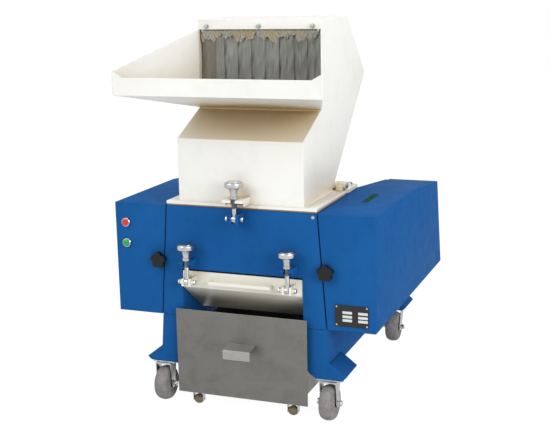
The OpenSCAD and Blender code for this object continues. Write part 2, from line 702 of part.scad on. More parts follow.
motor_shaft_d = 38;
module rotor_pulley() color(dark_steel) place() translate([pulley_x, rotor_y, rotor_z])
    v_pulley(rotor_pulley_d, shaft_d + run_gap * 2);
motor_shaft_in = hopper_half_w + cut;
module motor_pulley() color(dark_steel) place() {
  translate([pulley_x, motor_y, motor_z]) v_pulley(motor_pulley_d, motor_shaft_d);
  rod_x(motor_shaft_d / 2, motor_shaft_in + seat_gap, pulley_x + pulley_w, motor_y, motor_z);
}
belt_in = 8;
belt_h = 9;
belt_w = 9;
span = [motor_y - rotor_y, motor_z - rotor_z];
span_l = norm(span);
span_a = atan2(span[1], span[0]);
function belt_outline(r1, r2) = let (lean = asin((r1 - r2) / span_l)) concat(
  [for (i = [0 : belt_steps]) let (a = 90 - lean + (180 + lean * 2) * i / belt_steps) [r1 * cos(a),
      r1 * sin(a)]],
  [for (i = [0 : belt_steps]) let (a = -90 + lean + (180 - lean * 2) * i / belt_steps)
      [span_l + r2 * cos(a), r2 * sin(a)]]);
belt_steps = 20;
belt_inner = 1.2;
module belts() color(black) place() for (i = [0 : belt_count - 1]) {
  x = pulley_x + pulley_w / 2 + groove_pitch * (i - (belt_count - 1) / 2);
  r1 = rotor_pulley_d / 2 - belt_in + belt_inner;
  r2 = motor_pulley_d / 2 - belt_in + belt_inner;
  translate([0, rotor_y, rotor_z]) rotate([span_a, 0, 0]) across(x - belt_w / 2, x + belt_w / 2)
      difference() {
    polygon(belt_outline(r1 + belt_h, r2 + belt_h));
    polygon(belt_outline(r1, r2));
  }
}

// Motor on its tray
motor_r = 118;
motor_in = 10;
motor_x0 = motor_in - throat_half_w;
motor_fin_h = 10;
motor_fin_t = 4;
motor_fins = 24;
motor_foot_h = 20;
motor_foot_w = 200;
bell_l = 36;
motor_end_r = 102;
motor_fin_in = 54;
motor_foot_in = 72;
motor_box_half = 47;
motor_box_top = 154;
module motor() color("#4B6F9C") place() {
  rod_x(motor_r, motor_x0 + bell_l, motor_shaft_in - bell_l, motor_y, motor_z);
  rod_x(motor_end_r, motor_x0, motor_shaft_in, motor_y, motor_z);
  for (i = [0 : motor_fins - 1]) translate([0, motor_y, motor_z]) rotate([360 / motor_fins * i, 0, 0])
    block([motor_x0 + motor_fin_in, -motor_fin_t / 2, 0], [motor_shaft_in - motor_fin_in, motor_fin_t / 2,
        motor_r + motor_fin_h]);
  block([motor_x0 + motor_foot_in, motor_y - motor_foot_w / 2, motor_z - motor_r - motor_foot_h],
        [motor_shaft_in - motor_foot_in, motor_y + motor_foot_w / 2, motor_z - motor_r]);
  block([-motor_box_half, motor_y - motor_box_half, motor_z + motor_end_r], [motor_box_half,
      motor_y + motor_box_half, motor_z + motor_box_top]);
}
tray_t = 8;
motor_tray_half_d = 130;
module motor_tray() color(blue_paint) place() {
  z1 = motor_z - motor_r - motor_foot_h - seat_gap;
  x1 = flare_x(z1) - plate_t - seat_gap;
  block([-x1, motor_y - motor_tray_half_d, z1 - tray_t], [x1, motor_y + motor_tray_half_d, z1]);
  both_sides() block([x1 - tray_t, motor_y - motor_tray_half_d, z1 - tray_t * 6], [x1,
      motor_y + motor_tray_half_d, z1]);
}

// Screen cradle: end plates, ribs and rolled skins with an outlet between them, a front plate and its chute, and rear knuckles
cradle_gap = 1;
cradle_half_w = bay_half_w - cradle_gap;
cradle_t = 4;
cradle_face_y = -7;
cradle_hinge_back = 10;
cradle_hinge_y = throat_y1 + wall_t + cradle_hinge_back;
cradle_hinge_z = 482;
cradle_hinge_r = 12;
cradle_pin_r = 6;
cradle_pin_up = 31;
cradle_pin_z = cradle_face_z + cradle_pin_up;
rib_t = 8;
rib_xs = [0, 120];
arc_steps = 32;
half_turn_a = 180;
cradle_end_a = 350;
rib_start_a = 200;
rib_end_a = 345;
function arc_points(r, a0, a1) = [for (i = [0 : arc_steps]) let (a = a0 + (a1 - a0) * i / arc_steps)
  [rotor_y + r * cos(a), rotor_z + r * sin(a)]];
face_a = asin((cradle_face_z - rotor_z) / cradle_r);
outlet_front_a = 240;
outlet_rear_a = 290;
chute_run = 137;
chute_fall = 109;
chute_y = cradle_face_y + chute_run;
chute_z = cradle_face_z - chute_fall;
module cradle() color(cream_paint) place() {
  start = arc_points(cradle_r, half_turn_a - face_a, cradle_end_a)[0];
  for (a = [[half_turn_a - face_a, outlet_front_a], [outlet_rear_a, cradle_end_a]])
    across(-cradle_half_w + cradle_t, cradle_half_w - cradle_t)
      polygon(concat(arc_points(cradle_r, a[0], a[1]), arc_points(cradle_r - cradle_t, a[1], a[0])));
  block([-cradle_half_w, cradle_face_y, cradle_face_z],
        [cradle_half_w, cradle_face_y + cradle_t, cradle_face_z + cradle_face_h]);
  across(-cradle_half_w, cradle_half_w) polygon([
    [cradle_face_y, cradle_face_z], start + [cradle_t, 0], start + [cradle_t, cradle_t],
    [cradle_face_y, cradle_face_z + cradle_t]]);
  // Chute under the screen, down and back into the bin
  across(-cradle_half_w, cradle_half_w) polygon([
    [cradle_face_y, cradle_face_z], [chute_y, chute_z], [chute_y, chute_z + cradle_t],
    [cradle_face_y + cradle_t, cradle_face_z + cradle_t]]);
  for (x = rib_xs, side = [-1, 1]) across(side * x - rib_t / 2, side * x + rib_t / 2) polygon(concat(
    arc_points(cradle_r, rib_start_a, rib_end_a),
    arc_points(screen_r + screen_t + seat_gap, rib_end_a, rib_start_a)));
  both_sides() across(cradle_half_w - cradle_t, cradle_half_w) polygon(concat(
    [[cradle_face_y, cradle_face_z], [chute_y, chute_z]], arc_points(cradle_r, outlet_rear_a, cradle_end_a),
    arc_points(screen_r + screen_t + seat_gap, cradle_end_a, half_turn_a - face_a),
    [[cradle_face_y, cradle_face_z + cradle_face_h]]));
  both_sides() difference() {
    union() {
      rod_x(cradle_hinge_r, cradle_half_w - hinge_l * 2, cradle_half_w - hinge_l, cradle_hinge_y,
          cradle_hinge_z);
      block([cradle_half_w - hinge_l * 2, rotor_y + cradle_r - cradle_t, cradle_hinge_z - cradle_hinge_r],
            [cradle_half_w - hinge_l, cradle_hinge_y, cradle_hinge_z]);
    }
    rod_x(cradle_pin_r + run_gap, 0, body_half_w, cradle_hinge_y, cradle_hinge_z);
  }
}
hinge_l = 30;
bracket_up = 40;
lug_h = 26;
// Perforated screen, resting on the cradle's ribs
screen_hole_d = 12;
screen_rows = 9;
screen_cols = 10;
screen_in = 6;
screen_half_w = throat_half_w - screen_in;
screen_start_a = 192;
screen_end_a = 348;
screen_hole_a = 80;
screen_row_a = screen_hole_a * 2 / screen_rows;
screen_pitch = screen_half_w * 2 / screen_cols;
module screen() color(steel) place() difference() {
  across(-screen_half_w, screen_half_w) polygon(concat(
    arc_points(screen_r + screen_t, screen_start_a, screen_end_a), arc_points(screen_r, screen_end_a,
        screen_start_a)));
  for (r = [0 : screen_rows - 1], c = [0 : screen_cols - 1])
    translate([-screen_half_w + screen_pitch / 2 + screen_pitch * c, rotor_y, rotor_z])
      rotate([screen_row_a / 2 + screen_row_a * r - screen_hole_a, 0, 0])
        translate([0, 0, -screen_r - screen_t * 2]) cylinder(d = screen_hole_d, h = screen_t * 4, $fn = 16);
}

// Bent flat-bar handle on the cradle's front plate
handle_bar_h = 13;
handle_bar_t = 5;
handle_out = 26;
handle_up = 19;
handle_z = cradle_face_z + handle_up;
module cradle_handle() color(cream_paint) place() {
  y0 = cradle_face_y - seat_gap;
  block([-cradle_handle_l / 2, y0 - handle_out, handle_z], [cradle_handle_l / 2,
      y0 - handle_out + handle_bar_t, handle_z + handle_bar_h]);
  both_sides() block([cradle_handle_l / 2 - handle_bar_t, y0 - handle_out, handle_z], [cradle_handle_l / 2,
      y0, handle_z + handle_bar_h]);
}

// Slotted forks on the front panel hold the cradle's clamps
fork_z = 534;
fork_half_w = 20;
module clamp_forks() color(blue_paint) place() for (x = [-clamp_half_span, clamp_half_span])
  translate([x, 0, 0]) {
    slotted_lug(fork_z - knob_gap, panel_y - seat_gap, fork_half_w);
  }
module clamp_rod_left() color(steel) clamp_rod(-clamp_half_span, cradle_pin_z, fork_z);
module clamp_rod_right() color(steel) clamp_rod(clamp_half_span, cradle_pin_z, fork_z);
module clamp_knob_left() color(steel) clamp_knob(-clamp_half_span, fork_z);
module clamp_knob_right() color(steel) clamp_knob(clamp_half_span, fork_z);

// Hopper hinge: knuckles on the flange, ears on the fixed plate behind it, and pins
hinge_back = 30;
hinge_axis_y = hopper_foot_d + hinge_back;
hinge_up = 31;
hinge_axis_z = body_top_z + hinge_up;
knuckle_r = 14;
knuckle_out = 11;
knuckle_l = 22;
knuckle_x0 = hopper_half_w + knuckle_out;
knuckle_x1 = knuckle_x0 + knuckle_l;
hopper_pin_r = 7;
ear_plate_t = 8;
module hinge_knuckles() color(white_paint) place() both_sides() difference() {
  union() {
    rod_x(knuckle_r, knuckle_x0, knuckle_x1, hinge_axis_y, hinge_axis_z);
    block([knuckle_x0, hopper_foot_d + seat_gap, box_z + seat_gap], [knuckle_x1, hinge_axis_y, hinge_axis_z]);
  }
  rod_x(hopper_pin_r + run_gap, 0, body_half_w, hinge_axis_y, hinge_axis_z);
  block([knuckle_x0 - cut, 0, body_top_z], [knuckle_x1 + cut, hopper_foot_d + flange_back + seat_gap,
      box_z + seat_gap]);
}
plate_back = 3;
plate_front_y = hinge_axis_y + plate_back;
module hinge_plate() color(cream_paint) place() {
  block([-flange_half_w, plate_front_y + knuckle_r, body_top_z + seat_gap], [flange_half_w, top_rear_y,
      box_z]);
  both_sides() for (x = [knuckle_x0 - ear_plate_t - seat_gap, knuckle_x1 + seat_gap]) difference() {
    union() {
      rod_x(knuckle_r, x, x + ear_plate_t, hinge_axis_y, hinge_axis_z);
      block([x, hinge_axis_y, body_top_z + seat_gap], [x + ear_plate_t, hinge_axis_y + knuckle_r * 4,
          hinge_axis_z]);
    }
    rod_x(hopper_pin_r + run_gap, 0, body_half_w * 2, hinge_axis_y, hinge_axis_z);
  }
}
pin_head_t = 5;
pin_head_r = 10;
module hinge_pins() color(steel) place() both_sides() {
  rod_x(hopper_pin_r, knuckle_x0 - ear_plate_t - seat_gap * 3, knuckle_x1 + ear_plate_t + pin_head_t,
      hinge_axis_y, hinge_axis_z);
  rod_x(pin_head_r, knuckle_x1 + ear_plate_t + seat_gap * 2, knuckle_x1 + ear_plate_t + pin_head_t,
      hinge_axis_y, hinge_axis_z);
  rod_x(cradle_pin_r, cradle_half_w - hinge_l * 3, cradle_half_w - seat_gap, cradle_hinge_y, cradle_hinge_z);
  for (z = hinge_zs) rod_z(hinge_pin_r, z - pin_head_t, z + hinge_knuckle_h * 2 + pin_head_t, hinge_x,
      hinge_y);
}

// Collecting bin: front plate, tub and a bent-plate handle, on four small castors
bin_face_y = -30;
bin_face_t = 3;
bin_t = 2;
bin_floor_up = 4;
bin_floor_z = bin_z + bin_floor_up;
module bin() color("#8D8F8E") place() {
  block([-bin_half_w, bin_face_y, bin_z], [bin_half_w, bin_face_y + bin_face_t, bin_z + bin_face_h]);
  difference() {
    block([-bin_tub_half_w, bin_face_y + bin_face_t, bin_floor_z], [bin_tub_half_w, bin_face_y + bin_d,
        bin_floor_z + bin_wall_h]);
    block([-bin_tub_half_w + bin_t, bin_face_y + bin_face_t, bin_floor_z + bin_t],
          [bin_tub_half_w - bin_t, bin_face_y + bin_d - bin_t, bin_floor_z + bin_wall_h + cut]);
  }
}
bin_handle_z = 248;
bin_handle_w = 98;
bin_handle_x = 5;
bin_handle_out = 54;
bin_handle_lip = 41;
bin_handle_fall = 8;
bin_handle_t = 3;
module bin_handle() color("#9B9D9C") place() {
  y1 = bin_face_y - seat_gap;
  across(bin_handle_x - bin_handle_w / 2, bin_handle_x + bin_handle_w / 2) polygon([
    [y1, bin_handle_z], [y1 - bin_handle_out, bin_handle_z - bin_handle_fall],
    [y1 - bin_handle_out, bin_handle_z - bin_handle_lip],
    [y1 - bin_handle_out + bin_handle_t, bin_handle_z - bin_handle_lip],
    [y1 - bin_handle_out + bin_handle_t, bin_handle_z - bin_handle_fall - bin_handle_t],
    [y1, bin_handle_z - bin_handle_t]]);
}
small_wheel_w = 34;
small_fork_t = 2.5;
small_axle_r = 3;
small_round = 9;
bin_castor_in = 29;
bin_castor_x = bin_tub_half_w - bin_castor_in;
bin_castor_y0 = 2;
bin_castor_rear = 30;
bin_castor_y1 = bin_face_y + bin_d - bin_castor_rear;
module bin_castor_forks() color(steel) place() for (x = [-bin_castor_x, bin_castor_x], y = [bin_castor_y0,
    bin_castor_y1])
  translate([x, y, 0]) {
    for (side = [-1, 1]) block(
      [side * (small_wheel_w / 2 + seat_gap + small_fork_t / 2) - small_fork_t / 2, -small_wheel_d / 4,
          small_wheel_d / 2 - small_axle_r * 2],
      [side * (small_wheel_w / 2 + seat_gap + small_fork_t / 2) + small_fork_t / 2, small_wheel_d / 4,
          bin_floor_z - seat_gap]);
    block([-small_wheel_w / 2 - small_fork_t * 2, -small_wheel_d / 2, bin_floor_z - seat_gap - small_fork_t * 2],
          [small_wheel_w / 2 + small_fork_t * 2, small_wheel_d / 2, bin_floor_z - seat_gap]);
    rod_x(small_axle_r, -small_wheel_w / 2 - small_fork_t * 2, small_wheel_w / 2 + small_fork_t * 2, 0,
        small_wheel_d / 2);
  }
module bin_castor_wheels() color("#6B5B4B") place() for (x = [-bin_castor_x, bin_castor_x],
    y = [bin_castor_y0, bin_castor_y1])
  translate([x, y, small_wheel_d / 2]) rotate([0, 90, 0]) rotate_extrude($fn = round_fn) polygon([
    [small_axle_r + run_gap, -small_wheel_w / 2], [small_wheel_d / 2 - small_round, -small_wheel_w / 2],
    [small_wheel_d / 2 - small_round / 3, -small_wheel_w / 3], [small_wheel_d / 2, -small_wheel_w / 8],
    [small_wheel_d / 2, small_wheel_w / 8], [small_wheel_d / 2 - small_round / 3, small_wheel_w / 3],
    [small_wheel_d / 2 - small_round, small_wheel_w / 2], [small_axle_r + run_gap, small_wheel_w / 2]]);

// Side covers: folded sheet boxes, open to the body, with a slot for the star knob's stud
cover_front_y = -7;
cover_gap = 4;
cover_outline = [
  [cover_front_y, cover_z], [cover_rear_y, cover_z], [cover_top_rear_y, cover_rear_z],
  [cover_bend_y, body_top_z], [cover_front_y, body_top_z]];
module cover_shell() {
  difference() {
    across(body_half_w, cover_half_w) polygon(cover_outline);
    across(0, cover_half_w - cover_t) polygon(inset(cover_outline, cover_t));
    along(cover_front_y - cut, cover_rear_y + cut) polygon([
      [0, cover_z - cut], [flare_x(cover_z - cut) + cover_gap, cover_z - cut],
      [body_half_w + cover_gap, body_top_z + cut], [0, body_top_z + cut]]);
    rod_y(stud_d / 2 + pin_clear, cover_front_y - cut, cover_front_y + cover_t + cut, knob_x, knob_z);
    block([body_half_w, cover_front_y - cut, knob_z - stud_d / 2 - pin_clear],
          [knob_x, cover_front_y + cover_t + cut, knob_z + stud_d / 2 + pin_clear]);
  }
  // Return flange behind the body, with the hinge's knuckles
  intersection() {
    across(flare_x(cover_z) + cover_gap, flare_x(cover_z) + cover_gap + cover_t) polygon(cover_outline);
    block([body_half_w, hinge_y + hinge_r + cover_gap, cover_z], [cover_half_w, cover_rear_y, body_top_z]);
  }
  for (z = hinge_zs) difference() {
    union() {
      rod_z(hinge_r, z + hinge_knuckle_h + seat_gap, z + hinge_knuckle_h * 2, hinge_x, hinge_y);
      block([hinge_x, hinge_y, z + hinge_knuckle_h + seat_gap],
            [flare_x(cover_z) + cover_gap + cover_t, hinge_y + hinge_r, z + hinge_knuckle_h * 2]);
      block([flare_x(cover_z) + cover_gap, hinge_y, z + hinge_knuckle_h + seat_gap],
            [flare_x(cover_z) + cover_gap + cover_t, hinge_y + hinge_r * 2, z + hinge_knuckle_h * 2]);
    }
    rod_z(hinge_pin_r + run_gap, z, z + hinge_knuckle_h * 3, hinge_x, hinge_y);
  }
}
button_edge = 42;
button_x = cover_half_w - button_edge;
red_z = 643;
green_z = 570;
button_r = 13;
bezel_r = 17;
bezel_h = 7;
button_in = 12;
button_out = 2;
button_crown = 3;
module cover_right() color(blue_paint) place() cover_shell();
module cover_left() color(blue_paint) place() difference() {
  mirror([1, 0, 0]) cover_shell();
  for (z = [red_z, green_z]) rod_y(button_r + seat_gap, cover_front_y - cut, cover_front_y + cover_t + cut,
      -button_x, z);
}
module button_bezels() color("#C9CCCE") place() for (z = [red_z, green_z]) translate([-button_x,
    cover_front_y - seat_gap, z])
  rotate([90, 0, 0]) rotate_extrude($fn = round_fn) polygon([
    [button_r + seat_gap, 0], [bezel_r, 0], [bezel_r, bezel_h / 2], [bezel_r - bezel_h / 3, bezel_h],
        [button_r + seat_gap, bezel_h]]);
module push_button(z) translate([-button_x, cover_front_y + button_in, z]) rotate([90, 0, 0])
    rotate_extrude($fn = round_fn) polygon([
  [0, 0], [button_r - seat_gap, 0], [button_r - seat_gap, button_in + bezel_h + button_out],
  [button_r - button_crown, button_in + bezel_h + button_out + button_crown], [0,
      button_in + bezel_h + button_out + button_crown]]);
module red_button() color("#C8322E") place() push_button(red_z);
module green_button() color("#1F9A55") place() push_button(green_z);

// Five-lobed star knobs with a threaded stud
lobes = 5;
star_r = 29;
star_h = 24;
lobe_r = 9;
star_boss_r = 14;
star_boss_h = 6;
stud_in = 36;
module star_knob() translate([knob_x, cover_front_y - seat_gap, knob_z]) rotate([90, 0, 0]) {
  translate([0, 0, star_boss_h]) {
    cylinder(r = star_r - lobe_r, h = star_h - star_boss_h, $fn = round_fn);
    for (i = [0 : lobes - 1]) rotate([0, 0, 90 + 360 / lobes * i]) translate([star_r - lobe_r, 0, 0])
      cylinder(r = lobe_r, h = star_h - star_boss_h, $fn = round_fn);
  }
  cylinder(r = star_boss_r, h = star_boss_h + cut, $fn = round_fn);
  translate([0, 0, -stud_in]) cylinder(d = stud_d, h = stud_in + cut, $fn = round_fn);
}
module star_knob_right() color(black) place() star_knob();
module star_knob_left() color(black) place() mirror([1, 0, 0]) star_knob();

// Bare nameplate with four rivets
plate_edge = 83;
plate_x = cover_half_w - plate_edge;
plate_z = 375;
plate_w = 116;
plate_h = 74;
name_t = 1.5;
rivet_r = 3;
rivet_in = 6;
module nameplate() color(black) place() {
  block([plate_x - plate_w / 2, cover_front_y - seat_gap - name_t, plate_z - plate_h / 2],
        [plate_x + plate_w / 2, cover_front_y - seat_gap, plate_z + plate_h / 2]);
  for (sx = [-1, 1], sz = [-1, 1]) rod_y(rivet_r, cover_front_y - seat_gap - name_t * 2,
      cover_front_y - seat_gap,
    plate_x + sx * (plate_w / 2 - rivet_in), plate_z + sz * (plate_h / 2 - rivet_in));
}

// Castors: pressed forks with a top plate, and wheels with a tyre tread
fork_t = 4;
fork_gap = 2;
fork_w = 44;
axle_r = 7;
kingpin_r = 9;
head_t = 5;
head_half_w = 42;
head_half_d = 38;
head_front_in = 2;
tread_in = 3;
hub_in_w = 4;
hub_face_r = 36;
wheel_boss_r = 14.5;
wheel_dish_r = 18;
wheel_rim_r = 39.5;
module castor_fork(trail) {
  for (side = [-1, 1]) {
    x0 = side * (wheel_w / 2 + fork_gap + fork_t / 2);
    across(x0 - fork_t / 2, x0 + fork_t / 2) polygon([
      [-fork_w / 2, castor_h - head_t - fork_t], [-trail - fork_w / 3, wheel_d / 2], [-trail - axle_r,
          wheel_d / 2 - fork_w / 3],
      [-trail + axle_r, wheel_d / 2 - fork_w / 3], [-trail + fork_w / 3, wheel_d / 2], [fork_w / 2,
          castor_h - head_t - fork_t]]);
  }
  block([-wheel_w / 2 - fork_gap - fork_t, -fork_w / 2, castor_h - head_t - fork_t - seat_gap * 3],
        [wheel_w / 2 + fork_gap + fork_t, fork_w / 2, castor_h - head_t - seat_gap * 3]);
  rod_x(axle_r, -wheel_w / 2 - fork_t * 3, wheel_w / 2 + fork_t * 3, -trail, wheel_d / 2);
  rod_z(kingpin_r, castor_h - head_t - fork_t, castor_h - seat_gap * 2, 0, 0);
}
module castor_head() difference() {
  block([-head_half_w, -head_half_d, castor_h - head_t - seat_gap * 2], [head_half_w, head_half_d,
      castor_h - seat_gap]);
  rod_z(kingpin_r + run_gap, castor_h - head_t * 2, castor_h, 0, 0);
}
module castor_forks_front() color(steel) place() for (x = [-castor_half_track, castor_half_track]) {
  translate([x, castor_front_y, 0]) castor_fork(0);
  translate([x, 0, 0]) difference() {
    block([-head_half_w, panel_y + head_front_in, castor_h - head_t - seat_gap * 2],
          [head_half_w, panel_y + head_front_in + head_half_d * 2, castor_h - seat_gap]);
    rod_z(kingpin_r + run_gap, castor_h - head_t * 2, castor_h, 0, castor_front_y);
  }
  translate([x, castor_rear_y, 0]) castor_head();
}
module castor_fork_rear_left() color(steel) place() translate([-castor_half_track, castor_rear_y, 0])
    castor_fork(castor_trail);
module castor_fork_rear_right() color(steel) place() translate([castor_half_track, castor_rear_y, 0])
    castor_fork(castor_trail);
module wheel(x, y) translate([x, y, wheel_d / 2]) rotate([0, 90, 0]) rotate_extrude($fn = round_fn) polygon([
  [axle_r + run_gap, -wheel_w / 2 + hub_in_w / 2], [wheel_boss_r, -wheel_w / 2 + hub_in_w / 2],
      [wheel_dish_r, -wheel_w / 2 + hub_in_w * 2],
  [hub_face_r, -wheel_w / 2 + hub_in_w * 2], [wheel_rim_r, -wheel_w / 2 + hub_in_w / 2],
  [wheel_d / 2 - tread_in * 3, -wheel_w / 2], [wheel_d / 2 - tread_in / 2, -wheel_w / 2 + tread_in * 2],
      [wheel_d / 2, 0],
  [wheel_d / 2 - tread_in / 2, wheel_w / 2 - tread_in * 2], [wheel_d / 2 - tread_in * 3, wheel_w / 2],
  [wheel_rim_r, wheel_w / 2 - hub_in_w / 2], [hub_face_r, wheel_w / 2 - hub_in_w * 2],
  [wheel_dish_r, wheel_w / 2 - hub_in_w * 2], [wheel_boss_r, wheel_w / 2 - hub_in_w / 2],
      [axle_r + run_gap, wheel_w / 2 - hub_in_w / 2]]);
module wheel_front_left() color("#8E878C") place() wheel(-castor_half_track, castor_front_y);
module wheel_front_right() color("#8E878C") place() wheel(castor_half_track, castor_front_y);
module wheel_rear_left() color("#8E878C") place() wheel(-castor_half_track, castor_rear_y - castor_trail);
module wheel_rear_right() color("#8E878C") place() wheel(castor_half_track, castor_rear_y - castor_trail);
hopper_shell();
hopper_flange();
hopper_seal();
feed_tray();
band_bolts();
curtain_bar();
strip_curtain();
hopper_lock_lug();
hopper_lock_rod();
hopper_lock_knob();
hinge_knuckles();
hinge_plate();
hinge_pins();
front_panel();
side_plate_left();
side_plate_right();
feet();
rear_panel();
top_plate();
chamber();
bed_knives();
rotor_shaft();
rotor_hub();
claw_blades();
bearings();
flywheel();
rotor_pulley();
motor_pulley();
belts();
motor();
motor_tray();
cradle();
screen();
cradle_handle();
cradle_pivots();
lock_pivot();
clamp_forks();
clamp_rod_left();
clamp_rod_right();
clamp_knob_left();
clamp_knob_right();
bin();
bin_handle();
bin_castor_forks();
bin_castor_wheels();
cover_left();
cover_right();
star_knob_left();
star_knob_right();
red_button();
green_button();
button_bezels();
nameplate();
castor_forks_front();
castor_fork_rear_left();
castor_fork_rear_right();
wheel_front_left();
wheel_front_right();
wheel_rear_left();
wheel_rear_right();
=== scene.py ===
import json
import math

import bmesh
import bpy
import numpy as np
from mathutils import Matrix, Vector


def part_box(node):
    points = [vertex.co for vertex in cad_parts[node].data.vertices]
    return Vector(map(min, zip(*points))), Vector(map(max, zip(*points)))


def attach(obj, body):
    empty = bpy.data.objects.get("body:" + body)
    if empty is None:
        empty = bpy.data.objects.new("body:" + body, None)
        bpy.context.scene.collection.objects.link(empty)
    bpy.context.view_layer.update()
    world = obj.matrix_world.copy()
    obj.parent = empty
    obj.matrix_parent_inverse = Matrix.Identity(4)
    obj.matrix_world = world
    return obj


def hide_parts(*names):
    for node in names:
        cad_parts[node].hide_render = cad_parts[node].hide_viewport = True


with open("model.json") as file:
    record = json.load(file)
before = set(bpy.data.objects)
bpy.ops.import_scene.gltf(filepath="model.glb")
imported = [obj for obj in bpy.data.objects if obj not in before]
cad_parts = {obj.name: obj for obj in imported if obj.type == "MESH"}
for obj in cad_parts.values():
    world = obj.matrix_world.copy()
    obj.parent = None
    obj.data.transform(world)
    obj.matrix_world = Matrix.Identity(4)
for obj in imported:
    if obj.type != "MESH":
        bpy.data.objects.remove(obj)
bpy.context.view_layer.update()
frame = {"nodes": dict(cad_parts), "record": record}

# Studio: a pale floor, three large soft lamps and the photograph's own viewpoint, a standing person's
# eye level, ahead of the machine and to its right. The camera was turned by a degree, as the photo is.
def hex_colour(code):
    """An sRGB hex colour as the linear RGBA that sockets take."""
    c = np.array([int(code[i:i + 2], 16) for i in (1, 3, 5)]) / 255
    return (*np.where(c <= 0.04045, c / 12.92, ((c + 0.055) / 1.055) ** 2.4).tolist(), 1.0)

def lay(owner, kind, inputs=None, **settings):
    """Adds one node: settings are its properties, inputs are values or sockets to link."""
    node = owner.node_tree.nodes.new("ShaderNode" + kind)
    for key, value in settings.items():
        setattr(node, key, value)
    for key, value in (inputs or {}).items():
        if isinstance(value, bpy.types.NodeSocket):
            owner.node_tree.links.new(value, node.inputs[key])
        else:
            node.inputs[key].default_value = value
    return node

def bare(name):
    """An empty node material."""
    mat = bpy.data.materials.new(name)
    mat.use_nodes = True
    mat.node_tree.nodes.clear()
    return mat

scene = bpy.context.scene
scene.view_settings.view_transform = "Standard"
azimuth, elevation, roll = (math.radians(a) for a in (20.9, 12.4, -1.1))
ahead = Vector((-math.sin(azimuth) * math.cos(elevation), math.cos(azimuth) * math.cos(elevation),
                -math.sin(elevation)))
level = Vector((math.cos(azimuth), math.sin(azimuth), 0))
upward = level.cross(ahead)
right = math.cos(roll) * level + math.sin(roll) * upward
up = -math.sin(roll) * level + math.cos(roll) * upward
eye = Matrix.Translation((1.347, -3.6048, 1.4411))
camera = bpy.data.objects.new("camera", bpy.data.cameras.new("camera"))
camera.data.lens, camera.data.sensor_width, camera.data.clip_end = 69.5, 36, 60
camera.matrix_world = eye @ Matrix((right, up, -ahead)).transposed().to_4x4()
scene.collection.objects.link(camera)
scene.camera = camera
aim = Vector((0, 0, 0.6))
for name, place, size, watts in (("key_lamp", (-2.4, -3.6, 3.3), 2.6, 88),
                                 ("fill_lamp", (3.9, -2.6, 2.1), 2.6, 126),
                                 ("top_lamp", (0.4, 0.7, 4.2), 3.2, 42)):
    lamp = bpy.data.objects.new(name, bpy.data.lights.new(name, "AREA"))
    lamp.data.size, lamp.data.energy = size, watts
    lamp.location = place
    lamp.rotation_euler = (aim - Vector(place)).to_track_quat("-Z", "Y").to_euler()
    scene.collection.objects.link(lamp)
white = (1, 1, 1, 1)
world = bpy.data.worlds.new("studio")
world.use_nodes = True
world.node_tree.nodes.clear()
scene.world = world
rays = lay(world, "LightPath").outputs
seen = lay(world, "Math", {0: rays["Is Camera Ray"], 1: rays["Is Glossy Ray"]}, operation="MAXIMUM").outputs[0]
seen = lay(world, "Math", {0: seen, 1: rays["Is Transmission Ray"]}, operation="MAXIMUM").outputs[0]
lit = lay(world, "Background", {"Color": white, "Strength": 0.52}).outputs[0]
backdrop = lay(world, "Background", {"Color": white, "Strength": 1.0}).outputs[0]
lay(world, "OutputWorld", {"Surface": lay(world, "MixShader", {0: seen, 1: lit, 2: backdrop}).outputs[0]})
floor_paint = bare("studio_floor")
rays = lay(floor_paint, "LightPath").outputs
seen = lay(floor_paint, "Math", {0: rays["Is Camera Ray"], 1: rays["Is Glossy Ray"]}, operation="MAXIMUM").outputs[0]
seen = lay(floor_paint, "Math", {0: seen, 1: 0.86}, operation="MULTIPLY").outputs[0]
matt = lay(floor_paint, "BsdfDiffuse", {"Color": hex_colour("#e6e6e4")}).outputs[0]
glow = lay(floor_paint, "Emission", {"Color": white, "Strength": 1.12}).outputs[0]
mixed = lay(floor_paint, "MixShader", {0: seen, 1: matt, 2: glow}).outputs[0]
lay(floor_paint, "OutputMaterial", {"Surface": mixed})
reach = 14
floor_mesh = bpy.data.meshes.new("floor")
corners = [(-reach, -reach, 0), (reach, -reach, 0), (reach, reach, 0), (-reach, reach, 0)]
floor_mesh.from_pydata(corners, [], [(0, 1, 2, 3)])
floor_mesh.materials.append(floor_paint)
floor = bpy.data.objects.new("floor", floor_mesh)
scene.collection.objects.link(floor)

# Hopper: one box of 3 mm sheet, folded and welded, sprayed with warm white enamel and baked.
# The folds have a small radius, the paint a faint orange peel, and the welds stand up as smooth beads.
rides = {n: body for body, nodes in frame["record"]["behaviour"]["bodies"].items() for n in nodes}

